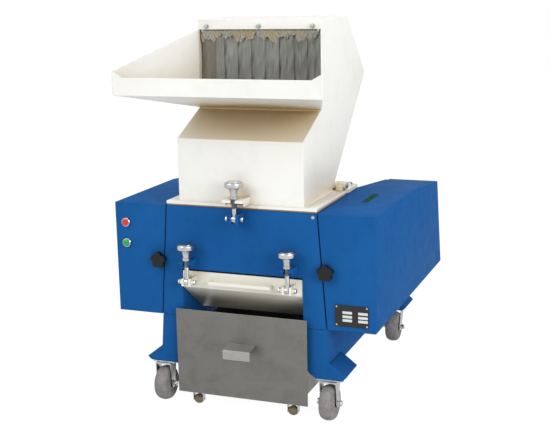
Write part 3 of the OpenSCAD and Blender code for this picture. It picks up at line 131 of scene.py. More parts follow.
def sprayed_enamel(name, base, shade, rough, grime="#6e6656", grime_share=0.12, shine=0.4,
                   nook_shade_colour="#a08c64", nook_shade_share=0.75):
    """Sprayed and baked enamel: the tone drifts over 30 cm, orange peel lies 3 mm apart, and handling leaves smudges
    5 cm wide. Nooks take a painted shade, darker and warmer, by the share of the sky that they can't see within
    30 cm."""
    mat = bare(name)
    at = lay(mat, "TexCoord").outputs["Object"]
    drift = lay(mat, "TexNoise", {"Vector": at, "Scale": 3.2, "Detail": 3.0, "Roughness": 0.55}).outputs["Fac"]
    smudge = lay(mat, "TexNoise", {"Vector": at, "Scale": 19.0, "Detail": 6.0, "Roughness": 0.7}).outputs["Fac"]
    peel = lay(mat, "TexNoise", {"Vector": at, "Scale": 330.0, "Detail": 1.0}).outputs["Fac"]
    drift = lay(mat, "MapRange", {"Value": drift, "From Min": 0.32, "From Max": 0.68}).outputs[0]
    tone = lay(mat, "Mix", {0: drift, 6: hex_colour(base), 7: hex_colour(shade)}, data_type="RGBA").outputs[2]
    dirty = lay(mat, "MapRange", {"Value": smudge, "From Min": 0.52, "From Max": 0.8,
                                  "To Max": grime_share}).outputs[0]
    tone = lay(mat, "Mix", {0: dirty, 6: tone, 7: hex_colour(grime)}, data_type="RGBA").outputs[2]
    # Painted shade: where the surface sees little sky within 30 cm, the nook colour is mixed into the tone
    sky = lay(mat, "AmbientOcclusion", {"Distance": 0.3}, samples=6).outputs["AO"]
    nook_shade_mask = lay(mat, "MapRange", {"Value": sky, "From Min": 0.8, "From Max": 0.2, "To Max": nook_shade_share}).outputs[0]
    tone = lay(mat, "Mix", {0: nook_shade_mask, 6: tone, 7: hex_colour(nook_shade_colour)}, data_type="RGBA").outputs[2]
    gloss = lay(mat, "MapRange", {"Value": smudge, "From Min": 0.3, "From Max": 0.75,
                                  "To Min": rough - 0.05, "To Max": rough + 0.1}).outputs[0]
    bump = lay(mat, "Bump", {"Height": peel, "Strength": 0.14, "Distance": 0.0005}).outputs[0]
    skin = lay(mat, "BsdfPrincipled", {"Base Color": tone, "Roughness": gloss, "Normal": bump,
                                       "Specular IOR Level": shine})
    lay(mat, "OutputMaterial", {"Surface": skin.outputs[0]})
    return mat

def folded(node, mat, radius):
    """A merged copy of the CAD node's surface with its edges rounded. An edge's radius is radius, or less where a
    face beside it is narrow: at most 0.4 of twice the face's area over its outline, and at most 0.45 of the shortest
    edge that meets it."""
    merge, flat, sharp, too_small = 2e-5, math.radians(0.5), math.radians(28), 0.04
    bm = bmesh.new()
    bm.from_mesh(frame["nodes"][node].data)
    bmesh.ops.remove_doubles(bm, verts=bm.verts, dist=merge)
    bmesh.ops.dissolve_limit(bm, angle_limit=flat, verts=bm.verts, edges=bm.edges)
    weight = bm.edges.layers.float.new("bevel_weight_edge")
    width = {f: 2 * f.calc_area() / sum(e.calc_length() for e in f.edges) for f in bm.faces}
    for e in bm.edges:
        if len(e.link_faces) == 2 and e.calc_face_angle() > sharp:
            room = min(0.4 * width[f] for f in e.link_faces)
            room = min([room] + [0.45 * o.calc_length() for v in e.verts for o in v.link_edges if o is not e])
            e[weight] = min(1.0, room / radius)
            e.smooth = e[weight] > too_small
    mesh = bpy.data.meshes.new(node)
    bm.to_mesh(mesh)
    bm.free()
    mesh.polygons.foreach_set("use_smooth", [True] * len(mesh.polygons))
    mesh.materials.append(mat)
    piece = bpy.data.objects.new("formed_" + node, mesh)
    scene.collection.objects.link(piece)
    bevel = piece.modifiers.new("fold", "BEVEL")
    bevel.width, bevel.segments, bevel.limit_method = radius, 3, "WEIGHT"
    bevel.use_clamp_overlap, bevel.harden_normals = False, True
    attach(piece, rides[node])
    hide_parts(node)

def put(name, parts, mat, node, replaces=()):
    """Joins shapes, each points and faces, into one mesh with its faces turned outwards, riding with the CAD node.
    Edges turned by less than 38 degrees are shaded smooth."""
    start = np.cumsum([0] + [len(p) for p, _ in parts])
    faces = [[int(i) + int(s) for i in f] for (_, fs), s in zip(parts, start) for f in fs]
    mesh = bpy.data.meshes.new(name)
    mesh.from_pydata(np.concatenate([p for p, _ in parts]).tolist(), [], faces)
    bm = bmesh.new()
    bm.from_mesh(mesh)
    bmesh.ops.recalc_face_normals(bm, faces=bm.faces)
    for e in bm.edges:
        e.smooth = len(e.link_faces) == 2 and e.calc_face_angle() < math.radians(38)
    bm.to_mesh(mesh)
    bm.free()
    mesh.polygons.foreach_set("use_smooth", [True] * len(mesh.polygons))
    mesh.materials.append(mat)
    piece = bpy.data.objects.new(name, mesh)
    scene.collection.objects.link(piece)
    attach(piece, rides[node])
    if replaces:
        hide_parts(*replaces)
    return piece

def rings(points, wrap=True):
    """Four-cornered faces over a grid of points, rows along and columns round, with one face closing each end."""
    rows, cols = points.shape[:2]
    i, j = np.arange(rows - 1)[:, None] * cols, np.arange(cols if wrap else cols - 1)[None]
    k = (j + 1) % cols
    quads = np.stack(np.broadcast_arrays(i + j, i + k, i + cols + k, i + cols + j), -1).reshape(-1, 4).tolist()
    ends = [list(range(cols)), list(range((rows - 1) * cols, rows * cols))] if wrap else []
    return points.reshape(-1, 3), quads + ends

def bead(path, radius):
    """A weld or caulk bead: a round section carried along a path, its radius rippling by an eighth every few
    millimetres, as it was laid, and thin at both ends."""
    step, around, ripple, end_share = 0.005, 10, 0.12, 0.4
    path = np.array(path, float)
    run = np.concatenate([[0], np.cumsum(np.linalg.norm(np.diff(path, axis=0), axis=1))])
    s = np.linspace(0, run[-1], max(3, int(run[-1] / step)))
    p = np.stack([np.interp(s, run, path[:, k]) for k in range(3)], -1)
    t = np.gradient(p, axis=0)
    t /= np.linalg.norm(t, axis=1, keepdims=True)
    side = np.cross(t, [0.31, 0.22, 0.93])
    side /= np.linalg.norm(side, axis=1, keepdims=True)
    over = np.cross(side, t)
    a = np.linspace(0, 2 * np.pi, around, endpoint=False)[None, :, None]
    r = radius * (1 + ripple * np.sin(s * 900) * np.sin(s * 210 + 1))
    r[[0, -1]] *= end_share
    return rings(p[:, None] + r[:, None, None] * (side[:, None] * np.cos(a) + over[:, None] * np.sin(a)))

white_enamel = sprayed_enamel("white_baked_enamel", "#e9e9e6", "#e3e2dc", 0.34, grime="#9a8f78", grime_share=0.1,
                              nook_shade_colour="#c0a268")
sheet_fold = 0.0022
folded("hopper_shell", white_enamel, sheet_fold)
folded("hopper_flange", white_enamel, 0.0015)
box_h, shoulder_rise, foot_d, foot_weld_r, weld_up = 0.215, 0.084, 0.308, 0.0022, 0.0008
hopper_lo, hopper_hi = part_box("hopper_shell")
mouth_z = hopper_lo.z + box_h + shoulder_rise
foot_y, foot_z = hopper_lo.y + foot_d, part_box("hopper_flange")[1].z + weld_up
corners = [(hopper_lo.x, hopper_lo.y), (hopper_hi.x, hopper_lo.y), (hopper_hi.x, foot_y), (hopper_lo.x, foot_y)]
put("hopper_foot_weld", [bead([(*corner, foot_z) for corner in corners + corners[:1]], foot_weld_r)], white_enamel,
    "hopper_flange")

# Seal under the hopper's flange: a strip of amber foam rubber, glued all round and squeezed by the lock.
# Its cut edge shows open cells a millimetre or two across.
foam = bare("amber_foam_rubber")
at = lay(foam, "TexCoord").outputs["Object"]
cells = lay(foam, "TexVoronoi", {"Vector": at, "Scale": 520.0}).outputs["Distance"]
stain = lay(foam, "TexNoise", {"Vector": at, "Scale": 26.0, "Detail": 4.0}).outputs["Fac"]
tone = lay(foam, "Mix", {0: stain, 6: hex_colour("#b08a4e"), 7: hex_colour("#7d6544")}, data_type="RGBA").outputs[2]
bump = lay(foam, "Bump", {"Height": cells, "Strength": 0.5, "Distance": 0.0008}).outputs[0]
skin = lay(foam, "BsdfPrincipled", {"Base Color": tone, "Roughness": 0.9, "Normal": bump})
lay(foam, "OutputMaterial", {"Surface": skin.outputs[0]})
folded("hopper_seal", foam, 0.0016)

# Feed tray: floor, two flared walls and a front lip of the same sheet, welded together and on to the
# hopper's mouth. A line of cream caulk seals the joint over the shoulder.
folded("feed_tray", white_enamel, sheet_fold)
tray_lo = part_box("feed_tray")[0]
# Caulk is matt and a warm cream, smoothed by hand
caulk = sprayed_enamel("cream_caulk", "#ecd6a2", "#dcc48c", 0.6, grime_share=0.1, shine=0.2, nook_shade_share=0)
caulk_half, caulk_r = 0.222, 0.0055
seam_y, seam_z = hopper_lo.y + 0.1865, mouth_z - 0.003
put("tray_caulk", [bead([(-caulk_half, seam_y, seam_z), (caulk_half, seam_y, seam_z)], caulk_r)], caulk, "feed_tray")
# Along the hopper's front corners, which lean back a little, and up the corners of the lip
side_x, side_r, lip_x, lip_r, lip_y = 0.2262, 0.002, 0.3548, 0.0016, tray_lo.y + 0.002
side_foot, side_head = (hopper_lo.y + 0.189, mouth_z), (hopper_lo.y + 0.1975, hopper_hi.z - 0.037)
lip_foot, lip_head = (lip_y, tray_lo.z + 0.079), (lip_y, tray_lo.z + 0.132)
put("tray_welds", [bead([(s * side_x, *side_foot), (s * side_x, *side_head)], side_r) for s in (-1, 1)]
    + [bead([(s * lip_x, *lip_foot), (s * lip_x, *lip_head)], lip_r) for s in (-1, 1)], white_enamel, "feed_tray")

# Band bolts and the bar behind them: three zinc-plated M8 bolts with low hexagon heads and pressed washers
# clamp the curtain's flat bar to the band over the mouth.
def plated_steel(name, base, shade, rough, stretch=(1, 1, 1), lines=900.0, depth=0.00008, metallic=1.0):
    """Bare or plated steel: noise drawn out by stretch gives the tool marks, and a second noise the dull patches."""
    mat = bare(name)
    at = lay(mat, "TexCoord").outputs["Object"]
    drawn = lay(mat, "Mapping", {"Vector": at, "Scale": stretch}).outputs[0]
    marks = lay(mat, "TexNoise", {"Vector": drawn, "Scale": lines, "Detail": 3.0, "Roughness": 0.6}).outputs["Fac"]
    patch = lay(mat, "TexNoise", {"Vector": at, "Scale": 34.0, "Detail": 5.0, "Roughness": 0.65}).outputs["Fac"]
    patch = lay(mat, "MapRange", {"Value": patch, "From Min": 0.35, "From Max": 0.7}).outputs[0]
    tone = lay(mat, "Mix", {0: patch, 6: hex_colour(base), 7: hex_colour(shade)}, data_type="RGBA").outputs[2]
    gloss = lay(mat, "MapRange", {"Value": patch, "To Min": rough - 0.06, "To Max": rough + 0.12}).outputs[0]
    bump = lay(mat, "Bump", {"Height": marks, "Strength": 0.5, "Distance": depth}).outputs[0]
    skin = lay(mat, "BsdfPrincipled", {"Base Color": tone, "Metallic": metallic, "Roughness": gloss, "Normal": bump})
    lay(mat, "OutputMaterial", {"Surface": skin.outputs[0]})
    return mat

def turned(profile, centre, axis="z", around=48, sides=0):
    """A profile of (radius, height) pairs swept round an axis. With sides, the radius is a polygon's at its corners,
    and elsewhere it is that times the cosine of half a side's angle over the cosine of the angle from mid-side."""
    r, h = np.array(profile, float).T
    a = np.linspace(0, 2 * np.pi, around, endpoint=False)
    half = np.pi / sides if sides else 1
    f = np.cos(half) / np.cos(a % (2 * half) - half) if sides else np.ones_like(a)
    u, v, w = np.outer(r, np.cos(a) * f), np.outer(r, np.sin(a) * f), np.repeat(h[:, None], around, 1)
    w = -w if axis[0] == "-" else w
    return rings(np.stack({"x": (w, u, v), "y": (u, w, v), "z": (u, v, w)}[axis[-1]], -1) + np.array(centre))

def hexagon(centre, axis, across, height, washer=0.0):
    """A hexagon head with a chamfered top on a round washer a seventh of its width thick, its back face at centre."""
    r, chamfer, seat, lip = across / 2 / math.cos(math.pi / 6), across * 0.08, washer * 0.14, 0.0004
    head = [(r, seat), (r, height - chamfer), (r - chamfer * 0.9, height - chamfer * 0.2), (r * 0.3, height)]
    parts = [turned(head, centre, axis, 24, 6)]
    if washer:
        disc = [(washer / 2 * 0.95, 0), (washer / 2, lip), (washer / 2, washer * 0.11), (washer * 0.3, seat)]
        parts.append(turned(disc, centre, axis, 32))
    return parts

# Zinc plate has a grey sheen that duller patches break up
zinc = plated_steel("zinc_plated_steel", "#b9bcbd", "#9a9c9a", 0.3, lines=700.0)
snug, band_bolt_x, band_bolt = 0.0002, 0.1935, (0.0125, 0.006, 0.0165)
lo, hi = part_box("band_bolts")
put("band_bolt_heads", [part for x in (-band_bolt_x, 0.0, band_bolt_x)
    for part in hexagon((x, hi.y + snug, (lo.z + hi.z) / 2), "-y", *band_bolt)], zinc, "band_bolts",
    replaces=("band_bolts",))
folded("curtain_bar", zinc, 0.001)

# Strip curtain: strips of clear 1.8 mm PVC on a rail that swings on the bar, hazy and scuffed grey by the parts
# that pass. Each strip curls its own way, and its top is folded over the rail under a crumpled band of film.
# Scuffed PVC lets a little light through, is streaked downwards, and has browned with age at its left edge
pvc = bare("scuffed_clear_pvc")
at = lay(pvc, "TexCoord").outputs["Object"]
drawn = lay(pvc, "Mapping", {"Vector": at, "Scale": (1.0, 1.0, 0.06)}).outputs[0]
streak = lay(pvc, "TexNoise", {"Vector": drawn, "Scale": 150.0, "Detail": 5.0, "Roughness": 0.65}).outputs["Fac"]
cloud = lay(pvc, "TexNoise", {"Vector": at, "Scale": 11.0, "Detail": 3.0}).outputs["Fac"]
both = lay(pvc, "Math", {0: streak, 1: cloud}, operation="MULTIPLY").outputs[0]
both = lay(pvc, "MapRange", {"Value": both, "From Min": 0.08, "From Max": 0.46}).outputs[0]
tone = lay(pvc, "Mix", {0: both, 6: hex_colour("#7a7c77"), 7: hex_colour("#a6a9a4")}, data_type="RGBA").outputs[2]
across = lay(pvc, "SeparateXYZ", {0: at}).outputs[0]
aged = lay(pvc, "MapRange", {"Value": across, "From Min": -0.15, "From Max": -0.18, "To Max": 0.55}).outputs[0]
tone = lay(pvc, "Mix", {0: aged, 6: tone, 7: hex_colour("#857a60")}, data_type="RGBA").outputs[2]
gloss = lay(pvc, "MapRange", {"Value": streak, "To Min": 0.16, "To Max": 0.5}).outputs[0]
bump = lay(pvc, "Bump", {"Height": streak, "Strength": 0.35, "Distance": 0.0008}).outputs[0]
skin = lay(pvc, "BsdfPrincipled", {"Base Color": tone, "Roughness": gloss, "Normal": bump, "IOR": 1.53,
                                   "Transmission Weight": 0.3})
lay(pvc, "OutputMaterial", {"Surface": skin.outputs[0]})
# Film is thin and glossy, and has yellowed in clouds
film = bare("crumpled_film_band")
at = lay(film, "TexCoord").outputs["Object"]
cloud = lay(film, "TexNoise", {"Vector": at, "Scale": 38.0, "Detail": 4.0}).outputs["Fac"]
cloud = lay(film, "MapRange", {"Value": cloud, "From Min": 0.38, "From Max": 0.62}).outputs[0]
tone = lay(film, "Mix", {0: cloud, 6: hex_colour("#a3946f"), 7: hex_colour("#9b9b97")}, data_type="RGBA").outputs[2]
skin = lay(film, "BsdfPrincipled", {"Base Color": tone, "Roughness": 0.3, "IOR": 1.5, "Transmission Weight": 0.2})
lay(film, "OutputMaterial", {"Surface": skin.outputs[0]})
curtain_lo, curtain_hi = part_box("strip_curtain")
rail_r, count, beside, lap, stagger, strip_gauge, film_gauge = 0.006, 17, 0.0095, 0.005, 0.0026, 0.0018, 0.0005
rail_y, rail_z = curtain_hi.y - rail_r, curtain_hi.z - rail_r
pitch = (curtain_hi.x - curtain_lo.x + 2 * beside) / count
# Over a strip's width u and length v, its depth is a cosine of u, a slow sine of v that grows downwards, a fine
# ripple of both, a lean that grows with v, and a step back for every second strip, so that they lap
curl_depth, sway_depth, ripple_depth, foot_shift = 0.0014, 0.0028, 0.0012, 0.004
top_drop, foot_gap, ahead_of_rail = 0.003, 0.004, 0.0025
u, v = np.meshgrid(np.linspace(0, 1, 13), np.linspace(0, 1, 40))
strips, rng = [], np.random.default_rng(7)
for i in range(count):
    inner = 0 < i < count - 1
    x = curtain_lo.x - beside + pitch * i + (pitch + (lap if i < count - 1 else 0.0)) * u
    z = rail_z - top_drop - (rail_z - curtain_lo.z - foot_gap) * v
    curl = curl_depth * np.cos((u - 0.5) * math.pi * 2 * rng.uniform(0.6, 1.2) + rng.uniform(0, 3))
    sway = sway_depth * np.sin(v * rng.uniform(2, 5) + rng.uniform(0, 6)) * v
    sway = sway + ripple_depth * np.sin(v * 17 + u * 5 + i)
    y = rail_y - ahead_of_rail + stagger * (i % 2) + curl + sway + rng.uniform(-0.0015, 0.002) * v
    x = x + (rng.uniform(-foot_shift, foot_shift) * v if inner else 0)
    strips.append(rings(np.stack([x, y, z], -1), wrap=False))
curtain = put("curtain_strips", strips, pvc, "strip_curtain", replaces=("strip_curtain",))
# The film goes over the rail through 200 degrees, its radius ruffled by sines of unlike pitch, and from there its
# edge hangs down in tongues, whose length is a sum of sines along the rail
u, v = np.meshgrid(np.linspace(0, 1, 260), np.linspace(0, 1, 16))
a = np.radians(-20 + 200 * np.clip(v * 2.2, 0, 1))
ruffle = 0.0012 * np.sin(u * 60 + 3 * np.sin(u * 17))
ruffle = ruffle + 0.0011 * np.sin(u * 143 + v * 9) + 0.0009 * np.sin(u * 251 - v * 14)
tongue = 0.046 + 0.016 * np.sin(u * 23) + 0.014 * np.sin(u * 61 + 1) + 0.007 * np.sin(u * 131)
drop = np.clip(v - 0.46, 0, 1) * tongue
film_r, below = 0.0072, 0.0005
r = film_r + ruffle * (0.4 + v)
x = curtain_lo.x - beside + (curtain_hi.x - curtain_lo.x + 2 * beside) * u + 0.0015 * np.sin(u * 90 + v * 6) * v
band = np.stack([x, rail_y - below + r * np.cos(a), rail_z - below + r * np.sin(a) - drop], -1)
wrap = put("curtain_film", [rings(band, wrap=False)], film, "strip_curtain")
for piece, gauge in ((curtain, strip_gauge), (wrap, film_gauge)):
    thick = piece.modifiers.new("gauge", "SOLIDIFY")
    thick.thickness, thick.offset = gauge, 0

# Hopper lock: a swing bolt that drops into a slotted lug on the flange. The lug is welded of 12 mm flat and enamelled
# with the hopper; the bolt is bright bar, threaded M16 at the top, with a foot forked over its pin.
# Drawn bar shines in fine lines along it, an oiled thread is dark, and turned aluminium shows the tool's rings
bright_bar = plated_steel("bright_drawn_bar", "#c4c6c6", "#a3a5a4", 0.24, stretch=(1, 1, 0.05), lines=2600.0)
oiled_thread = plated_steel("oiled_steel_thread", "#6f7070", "#474748", 0.38, lines=1400.0, metallic=0.85)
turned_aluminium = plated_steel("turned_aluminium", "#c8c9c8", "#a9abac", 0.27, stretch=(1, 1, 14), lines=420.0,
                                depth=0.00005)
folded("hopper_lock_lug", white_enamel, 0.0012)

def swing_bolt(rod, thread):
    """The bolt's rod is a merged copy of the CAD node. Its thread is a helix: the radius falls from crest to root and
    rises again once in a pitch, by the height in pitches less the angle in turns."""
    pitch, root_r, tooth, end_r = 0.002, 0.00808, 0.00062, 0.0079
    foot_in, head_in, row, columns = 0.029, 0.0295, 0.0004, 28
    folded(rod, bright_bar, 0.0008)
    lo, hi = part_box(rod)
    x, y = (lo.x + hi.x) / 2, (lo.y + hi.y) / 2
    z = np.linspace(hi.z - thread - foot_in, hi.z - head_in, int(thread / row))
    a = np.linspace(0, 2 * np.pi, columns, endpoint=False)
    r = root_r + tooth * np.abs(((z[:, None] / pitch - a[None] / (2 * np.pi)) % 1) * 2 - 1)
    r[[0, -1]] = end_r
    grid = np.stack([x + r * np.cos(a), y + r * np.sin(a), np.repeat(z[:, None], columns, 1)], -1)
    put(rod + "_thread", [rings(grid)], oiled_thread, rod)

def mushroom_knob(knob):
    """Turned from one bar: a ringed collar, a neck whose radius opens out as a quarter circle does, a head whose rim
    and crown are quarter circles, and a flat top that rises as one less the square of the radius."""
    lo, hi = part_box(knob)
    x, y, r, h = (lo.x + hi.x) / 2, (lo.y + hi.y) / 2, (hi.x - lo.x) / 2, hi.z - lo.z
    rim_r, crown_r = 0.0035, 0.006
    quarter = np.linspace(0, np.pi / 2, 9)
    collar = [(0.0082, 0), (0.0135, 0), (0.014, 0.0006), (0.014, 0.003), (0.0132, 0.0036), (0.0132, 0.0042),
              (0.014, 0.0048), (0.014, 0.0078), (0.0132, 0.0088)]
    neck = [(0.0115 + (r - 0.0165) * (1 - math.sqrt(1 - s * s)), 0.0095 + (h - 0.030) * s)
            for s in np.linspace(0, 0.985, 16)]
    rim = [(r - rim_r + rim_r * math.sin(t), h - 0.0175 - rim_r * math.cos(t)) for t in quarter]
    crown = [(r - crown_r + crown_r * math.cos(t), h - 0.0085 + crown_r * math.sin(t)) for t in quarter]
    flat = [(r * s, h - 0.0025 + 0.0022 * (1 - s * s)) for s in np.linspace(0.8, 0.02, 10)]
    put(knob + "_turned", [turned(collar + neck + rim + crown + flat, (x, y, lo.z), "z", 72)], turned_aluminium, knob,
        replaces=(knob,))

swing_bolt("hopper_lock_rod", 0.034)
mushroom_knob("hopper_lock_knob")

def pin_heads(node, centres):
    """Hexagon heads on both ends of each cross pin that a swing bolt turns on."""
    half_pin, head = 0.0249, (0.0145, 0.0068, 0.018)
    put(node + "_heads", [part for x, y, z in centres for s in (-1, 1)
        for part in hexagon((x + s * half_pin, y, z), "x" if s > 0 else "-x", *head)], zinc, node)

pin_y, lock_pin_z, clamp_x, clamp_pin_z = -0.452, 0.688, 0.182, 0.458
pin_heads("lock_pivot", [(0, pin_y, lock_pin_z)])
pin_heads("cradle_pivots", [(s * clamp_x, pin_y, clamp_pin_z) for s in (-1, 1)])

# Hopper hinge at the back: bored knuckles on the flange, ears on a fixed plate bolted to the body, and turned pins.
# The knuckles are white like the hopper, the plate with its ears is sprayed cream, and the pins are zinc plated.
cream_enamel = sprayed_enamel("cream_baked_enamel", "#ebeae3", "#e2dfd2", 0.36, grime="#8d8064", grime_share=0.16,
                              nook_shade_colour="#b9a473", nook_shade_share=0.5)
folded("hinge_knuckles", white_enamel, 0.001)
folded("hinge_plate", cream_enamel, 0.0012)
folded("hinge_pins", zinc, 0.0006)
bolt_y, bolt_z, plate_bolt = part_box("hinge_plate")[1].y - 0.018, hopper_lo.z + 0.0001, (0.017, 0.008, 0.021)
put("hinge_plate_bolts", [part for x in (-0.247, -0.09, 0.09, 0.247)
    for part in hexagon((x, bolt_y, bolt_z), "z", *plate_bolt)], zinc, "hinge_plate")

# Body: flared cabinet of 6 mm plate, welded and sprayed blue, with a fine orange peel and hardly any shine.
# The front panel's opening takes the bin, the side plates are bored for the shaft, and louvres let the motor breathe.
blue_enamel = sprayed_enamel("blue_baked_enamel", "#1b5998", "#185392", 0.62, grime="#1c3350", grime_share=0.3,
                             shine=0.03, nook_shade_colour="#1a4676", nook_shade_share=0.2)
for node, radius in (("front_panel", 0.002), ("side_plate_left", 0.0014), ("side_plate_right", 0.0014),
                     ("rear_panel", 0.0012), ("top_plate", 0.0012), ("clamp_forks", 0.0016), ("motor_tray", 0.0015),
                     ("lock_pivot", 0.0012)):
    folded(node, blue_enamel, radius)
front_lo, front_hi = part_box("front_panel")
seam_x, seam_drop, proud, seam_bolt = 0.2585, 0.013, 0.0003, (0.009, 0.0045, 0.012)
put("body_seam_bolts", hexagon((seam_x, front_lo.y + proud, front_hi.z - seam_drop), "-y", *seam_bolt), zinc,
    "front_panel")

# Feet: hollow shoes folded of 6 mm plate over the castors' heads, welded to the body and sprayed with it.
# The front castors' head plates are held up to them by four zinc-plated bolts each.
folded("feet", blue_enamel, 0.0035)
feet_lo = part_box("feet")[0]
head_t, shoe_bolt = 0.0062, (0.013, 0.0055, 0.0165)
put("shoe_bolts", [part for s in (-1, 1) for x in (0.268, 0.344) for inset in (0.03, 0.106)
    for part in hexagon((s * x, feet_lo.y + inset, feet_lo.z - head_t), "-z", *shoe_bolt)], zinc,
    "castor_forks_front")

# Cutting chamber: end plates flame cut from 25 mm steel, milled walls, ground bed knives, and the claw rotor
# between them. Claws are hardened tool steel, ground to the hook and bolted to seats welded on the hub.
# Milled walls are dull, ground knives bright, a machined forging darker, and sprayed castings a dusty green
milled = plated_steel("milled_chamber_steel", "#8b8e90", "#6d6f70", 0.36, stretch=(1, 6, 1), lines=300.0)
ground = plated_steel("ground_tool_steel", "#b9bdc0", "#9aa0a4", 0.2, stretch=(0.2, 5, 5), lines=900.0)
machined = plated_steel("machined_forging", "#7c7f82", "#5b5d5f", 0.38, lines=500.0)
cast_iron = sprayed_enamel("green_sprayed_cast_iron", "#41715a", "#345c49", 0.5, grime="#20251f", grime_share=0.35,
                           nook_shade_colour="#20251f", nook_shade_share=0.4)
# Belt rubber is black and matt, with grey dust on it
rubber = bare("belt_rubber")
at = lay(rubber, "TexCoord").outputs["Object"]
dust = lay(rubber, "TexNoise", {"Vector": at, "Scale": 60.0, "Detail": 5.0}).outputs["Fac"]
tone = lay(rubber, "Mix", {0: dust, 6: hex_colour("#1b1b1c"), 7: hex_colour("#39383a")}, data_type="RGBA").outputs[2]
bump = lay(rubber, "Bump", {"Height": dust, "Strength": 0.3, "Distance": 0.0004}).outputs[0]
skin = lay(rubber, "BsdfPrincipled", {"Base Color": tone, "Roughness": 0.75, "Normal": bump})
lay(rubber, "OutputMaterial", {"Surface": skin.outputs[0]})
for node, mat, radius in (("chamber", milled, 0.0012), ("bed_knives", ground, 0.0004),
                          ("rotor_shaft", bright_bar, 0.001), ("rotor_hub", machined, 0.001),
                          ("claw_blades", ground, 0.0006), ("bearings", cast_iron, 0.003),
                          ("flywheel", machined, 0.0016), ("rotor_pulley", machined, 0.0006),
                          ("motor_pulley", machined, 0.0006), ("belts", rubber, 0.0008)):
    folded(node, mat, radius)
lo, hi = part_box("rotor_shaft")
rotor_y, rotor_z = (lo.y + hi.y) / 2, (lo.z + hi.z) / 2
rows, claws, first_x, claw_pitch, bolt_half, seat = 3, 5, -0.186, 0.0744, 0.016, (-0.0162, 0.078)
claw_bolts = []
for row in range(rows):
    turn = row * 2 * math.pi / rows
    for x in [first_x + claw_pitch * (i + 0.5) + s * bolt_half for i in range(claws) for s in (-1, 1)]:
        points, faces = hexagon((x, *seat), "-y", 0.01, 0.005)[0]
        y, z = points[:, 1].copy(), points[:, 2].copy()
        points[:, 1] = rotor_y + y * math.cos(turn) - z * math.sin(turn)
        points[:, 2] = rotor_z + y * math.sin(turn) + z * math.cos(turn)
        claw_bolts.append((points, faces))
put("claw_bolts", claw_bolts, oiled_thread, "claw_blades")
flange_x, flange_bolt, nipple_x, nipple_up = 0.2412, (0.017, 0.009, 0.021), 0.245, 0.0705
put("bearing_bolts", [part for s in (-1, 1) for dy in (-0.058, 0.058) for dz in (-0.04, 0.058)
    for part in hexagon((s * flange_x, rotor_y + dy, rotor_z + dz), "x" if s > 0 else "-x", *flange_bolt)],
    zinc, "bearings")
nipple = [(0.0012, 0), (0.0032, 0), (0.0032, 0.004), (0.0018, 0.006), (0.0024, 0.0095), (0.0008, 0.011)]
put("bearing_grease_nipples", [turned(nipple, (s * nipple_x, rotor_y, rotor_z + nipple_up), "z", 20)
    for s in (-1, 1)], zinc, "bearings")

# Motor: a finned cast frame with pressed bells, sprayed mid blue, standing on the tray across the cabinet.
# A terminal box is screwed to its top.
motor_enamel = sprayed_enamel("mid_blue_motor_enamel", "#4a6d99", "#3f608a", 0.45, grime="#262a30", grime_share=0.3,
                              nook_shade_colour="#20242a", nook_shade_share=0.4)
folded("motor", motor_enamel, 0.0014)
lo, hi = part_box("motor")
motor_y, lid_z, screw_in, lid_screw = (lo.y + hi.y) / 2, hi.z + 0.0001, 0.038, (0.007, 0.003, 0.009)
put("terminal_box_screws", [part for sx in (-1, 1) for sy in (-1, 1)
    for part in hexagon((sx * screw_in, motor_y + sy * screw_in, lid_z), "z", *lid_screw)], zinc, "motor")

# Screen cradle: a trough rolled of 4 mm plate with ribs, welded to a front plate and enamelled cream. The screen is
# punched 3 mm steel; the flat-bar handle is bent and its feet are welded on.
folded("cradle", cream_enamel, 0.0018)
# Punched steel is an even, dull grey
punched = plated_steel("punched_screen_steel", "#8f9294", "#6c6e70", 0.4, lines=800.0)
folded("screen", punched, 0.0003)
folded("cradle_handle", cream_enamel, 0.002)
folded("cradle_pivots", cream_enamel, 0.0012)
lo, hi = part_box("cradle_handle")
foot_x, weld_y, foot_weld_r = hi.x - 0.0025, hi.y - 0.0006, 0.0022
put("handle_welds", [bead([(s * foot_x, weld_y, lo.z), (s * foot_x, weld_y, hi.z)], foot_weld_r) for s in (-1, 1)],
    cream_enamel, "cradle_handle")
for side in ("left", "right"):
    swing_bolt("clamp_rod_" + side, 0.026)
    mushroom_knob("clamp_knob_" + side)

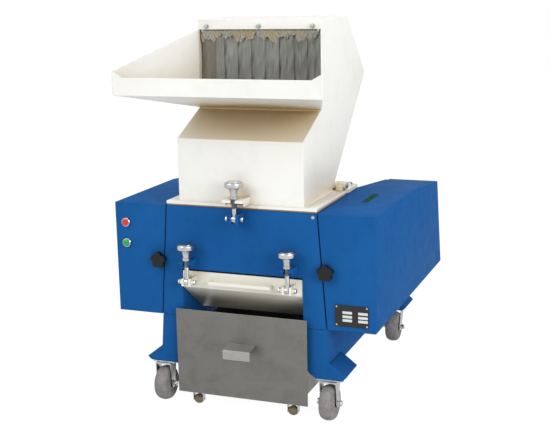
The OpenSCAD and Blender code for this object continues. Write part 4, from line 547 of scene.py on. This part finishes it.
# Collecting bin: 2 mm tub and 3 mm front of unpainted mill steel, spot welded, stained by hands and oil.
# The bent handle is brighter where it is pulled.
def mill_steel(name, base, shade, rough, stain="#5f5a50"):
    """Unpainted rolled sheet: rolling marks run across it, stains sit 8 cm wide, and fine pits break the shine."""
    mat = bare(name)
    at = lay(mat, "TexCoord").outputs["Object"]
    drawn = lay(mat, "Mapping", {"Vector": at, "Scale": (0.12, 1.0, 1.0)}).outputs[0]
    rolled = lay(mat, "TexNoise", {"Vector": drawn, "Scale": 420.0, "Detail": 4.0, "Roughness": 0.6}).outputs["Fac"]
    stains = lay(mat, "TexNoise", {"Vector": at, "Scale": 12.0, "Detail": 7.0, "Roughness": 0.62,
                                   "Distortion": 0.6}).outputs["Fac"]
    pits = lay(mat, "TexVoronoi", {"Vector": at, "Scale": 260.0, "Randomness": 1.0}).outputs["Distance"]
    soiled = lay(mat, "MapRange", {"Value": stains, "From Min": 0.45, "From Max": 0.75, "To Max": 0.45}).outputs[0]
    tone = lay(mat, "Mix", {0: rolled, 6: hex_colour(base), 7: hex_colour(shade)}, data_type="RGBA").outputs[2]
    tone = lay(mat, "Mix", {0: soiled, 6: tone, 7: hex_colour(stain)}, data_type="RGBA").outputs[2]
    gloss = lay(mat, "MapRange", {"Value": stains, "From Min": 0.3, "From Max": 0.75,
                                  "To Min": rough - 0.08, "To Max": rough + 0.2}).outputs[0]
    bump = lay(mat, "Bump", {"Height": rolled, "Strength": 0.35, "Distance": 0.0002}).outputs[0]
    bump = lay(mat, "Bump", {"Height": pits, "Strength": 0.12, "Distance": 0.0003, "Normal": bump}).outputs[0]
    skin = lay(mat, "BsdfPrincipled", {"Base Color": tone, "Metallic": 0.75, "Roughness": gloss, "Normal": bump})
    lay(mat, "OutputMaterial", {"Surface": skin.outputs[0]})
    return mat

bin_steel = mill_steel("oiled_mill_steel", "#7b7a76", "#6d6c68", 0.42)
polished = mill_steel("hand_polished_steel", "#b0b0ac", "#949490", 0.32, stain="#8a867c")
folded("bin", bin_steel, 0.0012)
folded("bin_handle", polished, 0.0009)
bin_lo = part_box("bin")[0]
handle_lo, handle_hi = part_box("bin_handle")
foot_spot, tub_spot = [(0.0045, 0), (0.004, 0.0004), (0.001, 0.0007)], [(0.005, 0), (0.0044, 0.0004), (0.001, 0.0006)]
front_y, foot_in, foot_z, tub_x = bin_lo.y + 0.0001, 0.012, handle_hi.z - 0.0035, 0.211
put("bin_spot_welds", [turned(foot_spot, (x, front_y, foot_z), "-y", 20)
    for x in (handle_lo.x + foot_in, handle_hi.x - foot_in)]
    + [turned(tub_spot, (x, front_y, bin_lo.z + up), "-y", 20) for x in (-tub_x, tub_x) for up in (0.07, 0.15, 0.23)],
    bin_steel, "bin")
folded("bin_castor_forks", zinc, 0.0006)
# Nylon treads are a soft olive brown, darkened by the floor's dust
olive = bare("olive_nylon_tread")
at = lay(olive, "TexCoord").outputs["Object"]
dust = lay(olive, "TexNoise", {"Vector": at, "Scale": 90.0, "Detail": 4.0}).outputs["Fac"]
tone = lay(olive, "Mix", {0: dust, 6: hex_colour("#7a6a4a"), 7: hex_colour("#5c5140")}, data_type="RGBA").outputs[2]
skin = lay(olive, "BsdfPrincipled", {"Base Color": tone, "Roughness": 0.5})
lay(olive, "OutputMaterial", {"Surface": skin.outputs[0]})
folded("bin_castor_wheels", olive, 0.0008)

# Side covers: folded 2.5 mm boxes hinged at the back over the belts and the flywheel, closed by a star knob in front.
# The left one carries the stop and start buttons, the right one a bare nameplate and a plain green patch.
for side in ("left", "right"):
    folded("cover_" + side, blue_enamel, 0.0035)
# Paint put on by hand is almost matt, and its long edges aren't quite straight
touch_up = sprayed_enamel("dark_green_touch_up", "#064a35", "#053e2d", 0.62, grime="#04261c", grime_share=0.3,
                          shine=0.02, nook_shade_colour="#04261c")
patch_x, patch_y, paint_t, unevenness, steps = (0.358, 0.381), (-0.188, -0.033), 0.0001, 0.0007, 24
y = patch_y[0] + (patch_y[1] - patch_y[0]) * np.linspace(0, 1, steps)
z = np.full(steps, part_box("cover_right")[1].z + 0.00015)
edges = np.random.default_rng(3).uniform(-unevenness, unevenness, (2, steps))
inner, outer = (np.stack([x + edge, y, z], -1) for x, edge in zip(patch_x, edges))
lifted = np.stack([inner - (0, 0, paint_t), inner, outer, outer - (0, 0, paint_t)], 1)
put("cover_touch_up", [rings(lifted, wrap=False)], touch_up, "cover_right")
# Chrome is a clean mirror, almost white
chrome = plated_steel("chromed_brass", "#d7dadb", "#c4c8ca", 0.1, lines=300.0, depth=0.00001)
lo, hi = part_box("button_bezels")
bezel_x, bezel_in = (lo.x + hi.x) / 2, 0.017
bezel = [(0.0133, 0), (0.017, 0), (0.0174, 0.0008), (0.0172, 0.0032), (0.0158, 0.0055), (0.0148, 0.0068),
         (0.0134, 0.0069), (0.0133, 0.004)]
put("button_bezels_turned", [turned(bezel, (bezel_x, hi.y, z), "-y", 56) for z in (lo.z + bezel_in, hi.z - bezel_in)],
    chrome, "button_bezels", replaces=("button_bezels",))
for node, light, dark in (("red_button", "#d42a26", "#b8211e"), ("green_button", "#0fa04a", "#0c8a40")):
    # A moulded cap is one strong colour under a light gloss
    cap = bare(node.split("_")[0] + "_moulded_cap")
    at = lay(cap, "TexCoord").outputs["Object"]
    rub = lay(cap, "TexNoise", {"Vector": at, "Scale": 120.0, "Detail": 3.0}).outputs["Fac"]
    tone = lay(cap, "Mix", {0: rub, 6: hex_colour(light), 7: hex_colour(dark)}, data_type="RGBA").outputs[2]
    skin = lay(cap, "BsdfPrincipled", {"Base Color": tone, "Roughness": 0.28, "Coat Weight": 0.2})
    lay(cap, "OutputMaterial", {"Surface": skin.outputs[0]})
    lo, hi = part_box(node)
    h = hi.y - lo.y
    button = [(0.004, 0), (0.0127, 0), (0.0127, h - 0.0042), (0.0122, h - 0.0018), (0.0105, h - 0.0004),
              (0.006, h - 0.0001), (0.0005, h - 0.0003)]
    put(node + "_moulded", [turned(button, ((lo.x + hi.x) / 2, hi.y, (lo.z + hi.z) / 2), "-y", 56)], cap, node,
        replaces=(node,))

# Star knobs: five lobes moulded in black phenolic round a steel stud. The outline swells by the size of a cosine of
# two and a half times the angle, and the crown is dished to a moulded centre.
# Phenolic is hard and black, with narrow, weak highlights
phenolic = bare("black_phenolic")
at = lay(phenolic, "TexCoord").outputs["Object"]
fine = lay(phenolic, "TexNoise", {"Vector": at, "Scale": 300.0, "Detail": 3.0}).outputs["Fac"]
tone = lay(phenolic, "Mix", {0: fine, 6: hex_colour("#0f0f10"), 7: hex_colour("#1d1d1e")}, data_type="RGBA").outputs[2]
bump = lay(phenolic, "Bump", {"Height": fine, "Strength": 0.1, "Distance": 0.0002}).outputs[0]
skin = lay(phenolic, "BsdfPrincipled", {"Base Color": tone, "Roughness": 0.36, "Specular IOR Level": 0.25,
                                        "Normal": bump})
lay(phenolic, "OutputMaterial", {"Surface": skin.outputs[0]})
valley_r, lobe_r, crest_r, seat_in, around = 0.0205, 0.0085, 0.029, 0.0165, 120
a = np.linspace(0, 2 * np.pi, around, endpoint=False)
lobe = valley_r + lobe_r * np.abs(np.cos(2.5 * (a - math.pi / 2))) ** 0.85
depths = np.array([0.0175, 0.0185, 0.0165, 0.012, 0.004, 0.001, 0.0003, 0.0014, 0.002])
scales = np.array([0.3, 0.93, 0.985, 1.0, 1.0, 0.965, 0.86, 0.62, 0.1])
stud = [(0.0135, 0.0), (0.014, 0.001), (0.014, 0.006), (0.0049, 0.0062), (0.0049, 0.0585), (0.0035, 0.0598)]
for side in ("left", "right"):
    node = "star_knob_" + side
    lo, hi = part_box(node)
    x, y, z = (lo.x + hi.x) / 2, lo.y + depths, hi.z - crest_r
    grid = np.stack([x + scales[:, None] * lobe * np.cos(a), np.repeat(y[:, None], around, 1),
                     z + scales[:, None] * lobe * np.sin(a)], -1)
    put(node + "_lobes", [rings(grid)], phenolic, node, replaces=(node,))
    put(node + "_stud", [turned(stud, (x, lo.y + seat_in, z), "y", 40)], zinc, node)

# Nameplate: a sheet of black anodised aluminium, held on the right cover by four rivets.
# It carries six bright brushed fields, and every one of them is left bare.
# Anodised black has a satin look, and the bare fields are brushed along their length
anodised = plated_steel("black_anodised_aluminium", "#242628", "#1a1b1d", 0.34, lines=500.0, metallic=0.35)
brushed = plated_steel("brushed_aluminium", "#e2e3e4", "#cfd0d2", 0.32, stretch=(0.05, 1, 1), lines=900.0)
lo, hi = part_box("nameplate")
cx, cz = (lo.x + hi.x) / 2, (lo.z + hi.z) / 2
sheet_y, field_y, rivet_y, rivet_x, rivet_z = hi.y - 0.0015, hi.y - 0.00185, hi.y - 0.0014, 0.052, 0.031

def panel(centre_x, centre_z, w, h, y_back, y_front, corner):
    """A thin plate with round corners, standing on the cover. Each corner takes six points of a quarter circle."""
    a = np.concatenate([np.linspace(q, q + np.pi / 2, 6) for q in (0, np.pi / 2, np.pi, 3 * np.pi / 2)])
    sx, sz = np.repeat([1, -1, -1, 1], 6), np.repeat([1, 1, -1, -1], 6)
    x = centre_x + sx * (w / 2 - corner) + corner * np.cos(a)
    z = centre_z + sz * (h / 2 - corner) + corner * np.sin(a)
    return rings(np.stack([np.stack([x, np.full_like(x, y), z], -1) for y in (y_back, y_front)]))

put("nameplate_sheet", [panel(cx, cz, 0.116, 0.074, hi.y, sheet_y, 0.003)], anodised, "nameplate",
    replaces=("nameplate",))
put("nameplate_fields", [panel(cx + dx, cz + dz, 0.0325, 0.0088, sheet_y, field_y, 0.0008)
    for dx in (-0.0151, 0.0383) for dz in (0.0118, -0.0022, -0.0148)], brushed, "nameplate")
rivet = [(0.0032, 0), (0.003, 0.0009), (0.0018, 0.0016), (0.0002, 0.0019)]
put("nameplate_rivets", [turned(rivet, (cx + sx * rivet_x, rivet_y, cz + sz * rivet_z), "-y", 24)
    for sx in (-1, 1) for sz in (-1, 1)], zinc, "nameplate")

# Castors: pressed and zinc-plated forks on head plates bolted under the feet, and wheels with a grey rubber tread
# bonded to a turned hub. The rear pair swivels, and the tread is worn and dusty.
for node in ("castor_forks_front", "castor_fork_rear_left", "castor_fork_rear_right"):
    folded(node, zinc, 0.0016)
# Grey rubber is matt, with darker scuffs where it has run
tyre = bare("worn_grey_rubber")
at = lay(tyre, "TexCoord").outputs["Object"]
scuff = lay(tyre, "TexNoise", {"Vector": at, "Scale": 45.0, "Detail": 6.0, "Roughness": 0.7}).outputs["Fac"]
scuff = lay(tyre, "MapRange", {"Value": scuff, "From Min": 0.35, "From Max": 0.7}).outputs[0]
tone = lay(tyre, "Mix", {0: scuff, 6: hex_colour("#8f8b8a"), 7: hex_colour("#6f6c6b")}, data_type="RGBA").outputs[2]
bump = lay(tyre, "Bump", {"Height": scuff, "Strength": 0.25, "Distance": 0.0005}).outputs[0]
skin = lay(tyre, "BsdfPrincipled", {"Base Color": tone, "Roughness": 0.8, "Normal": bump})
lay(tyre, "OutputMaterial", {"Surface": skin.outputs[0]})
# The tread's section is a half circle whose cosine is drawn in by up to an eighth towards its two sides
tread_r, tread_in, nut_out, axle_nut = 0.0115, 0.0405, 0.012, (0.017, 0.008, 0.021)
arc = np.linspace(-math.pi / 2, math.pi / 2, 15)
for place in ("front_left", "front_right", "rear_left", "rear_right"):
    node = "wheel_" + place
    lo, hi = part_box(node)
    x, y, z, r, half = (lo.x + hi.x) / 2, (lo.y + hi.y) / 2, (lo.z + hi.z) / 2, (hi.z - lo.z) / 2, (hi.x - lo.x) / 2
    tread = [(r - tread_r + tread_r * math.cos(t) * (1 - 0.12 * math.sin(t) ** 2), half * math.sin(t) * 0.98)
             for t in arc]
    tread = [(tread_in, -half + 0.001)] + tread + [(tread_in, half - 0.001)]
    put(node + "_tread", [turned(tread, (x, y, z), "x", 96)], tyre, node, replaces=(node,))
    hub = [(0.0072, -half + 0.001), (0.0145, -half + 0.001), (0.016, -half + 0.006), (0.019, -half + 0.0085),
           (0.034, -half + 0.0085), (0.0375, -half + 0.004), (0.0402, -half + 0.0018)]
    hub += [(q, -v) for q, v in reversed(hub)]
    put(node + "_hub", [turned(hub, (x, y, z), "x", 72)], zinc, node)
    fork = "castor_forks_front" if "front" in place else "castor_fork_" + place
    put(node + "_axle_nuts", [part for s in (-1, 1)
        for part in hexagon((x + s * (half + nut_out), y, z), "x" if s > 0 else "-x", *axle_nut)], zinc, fork)
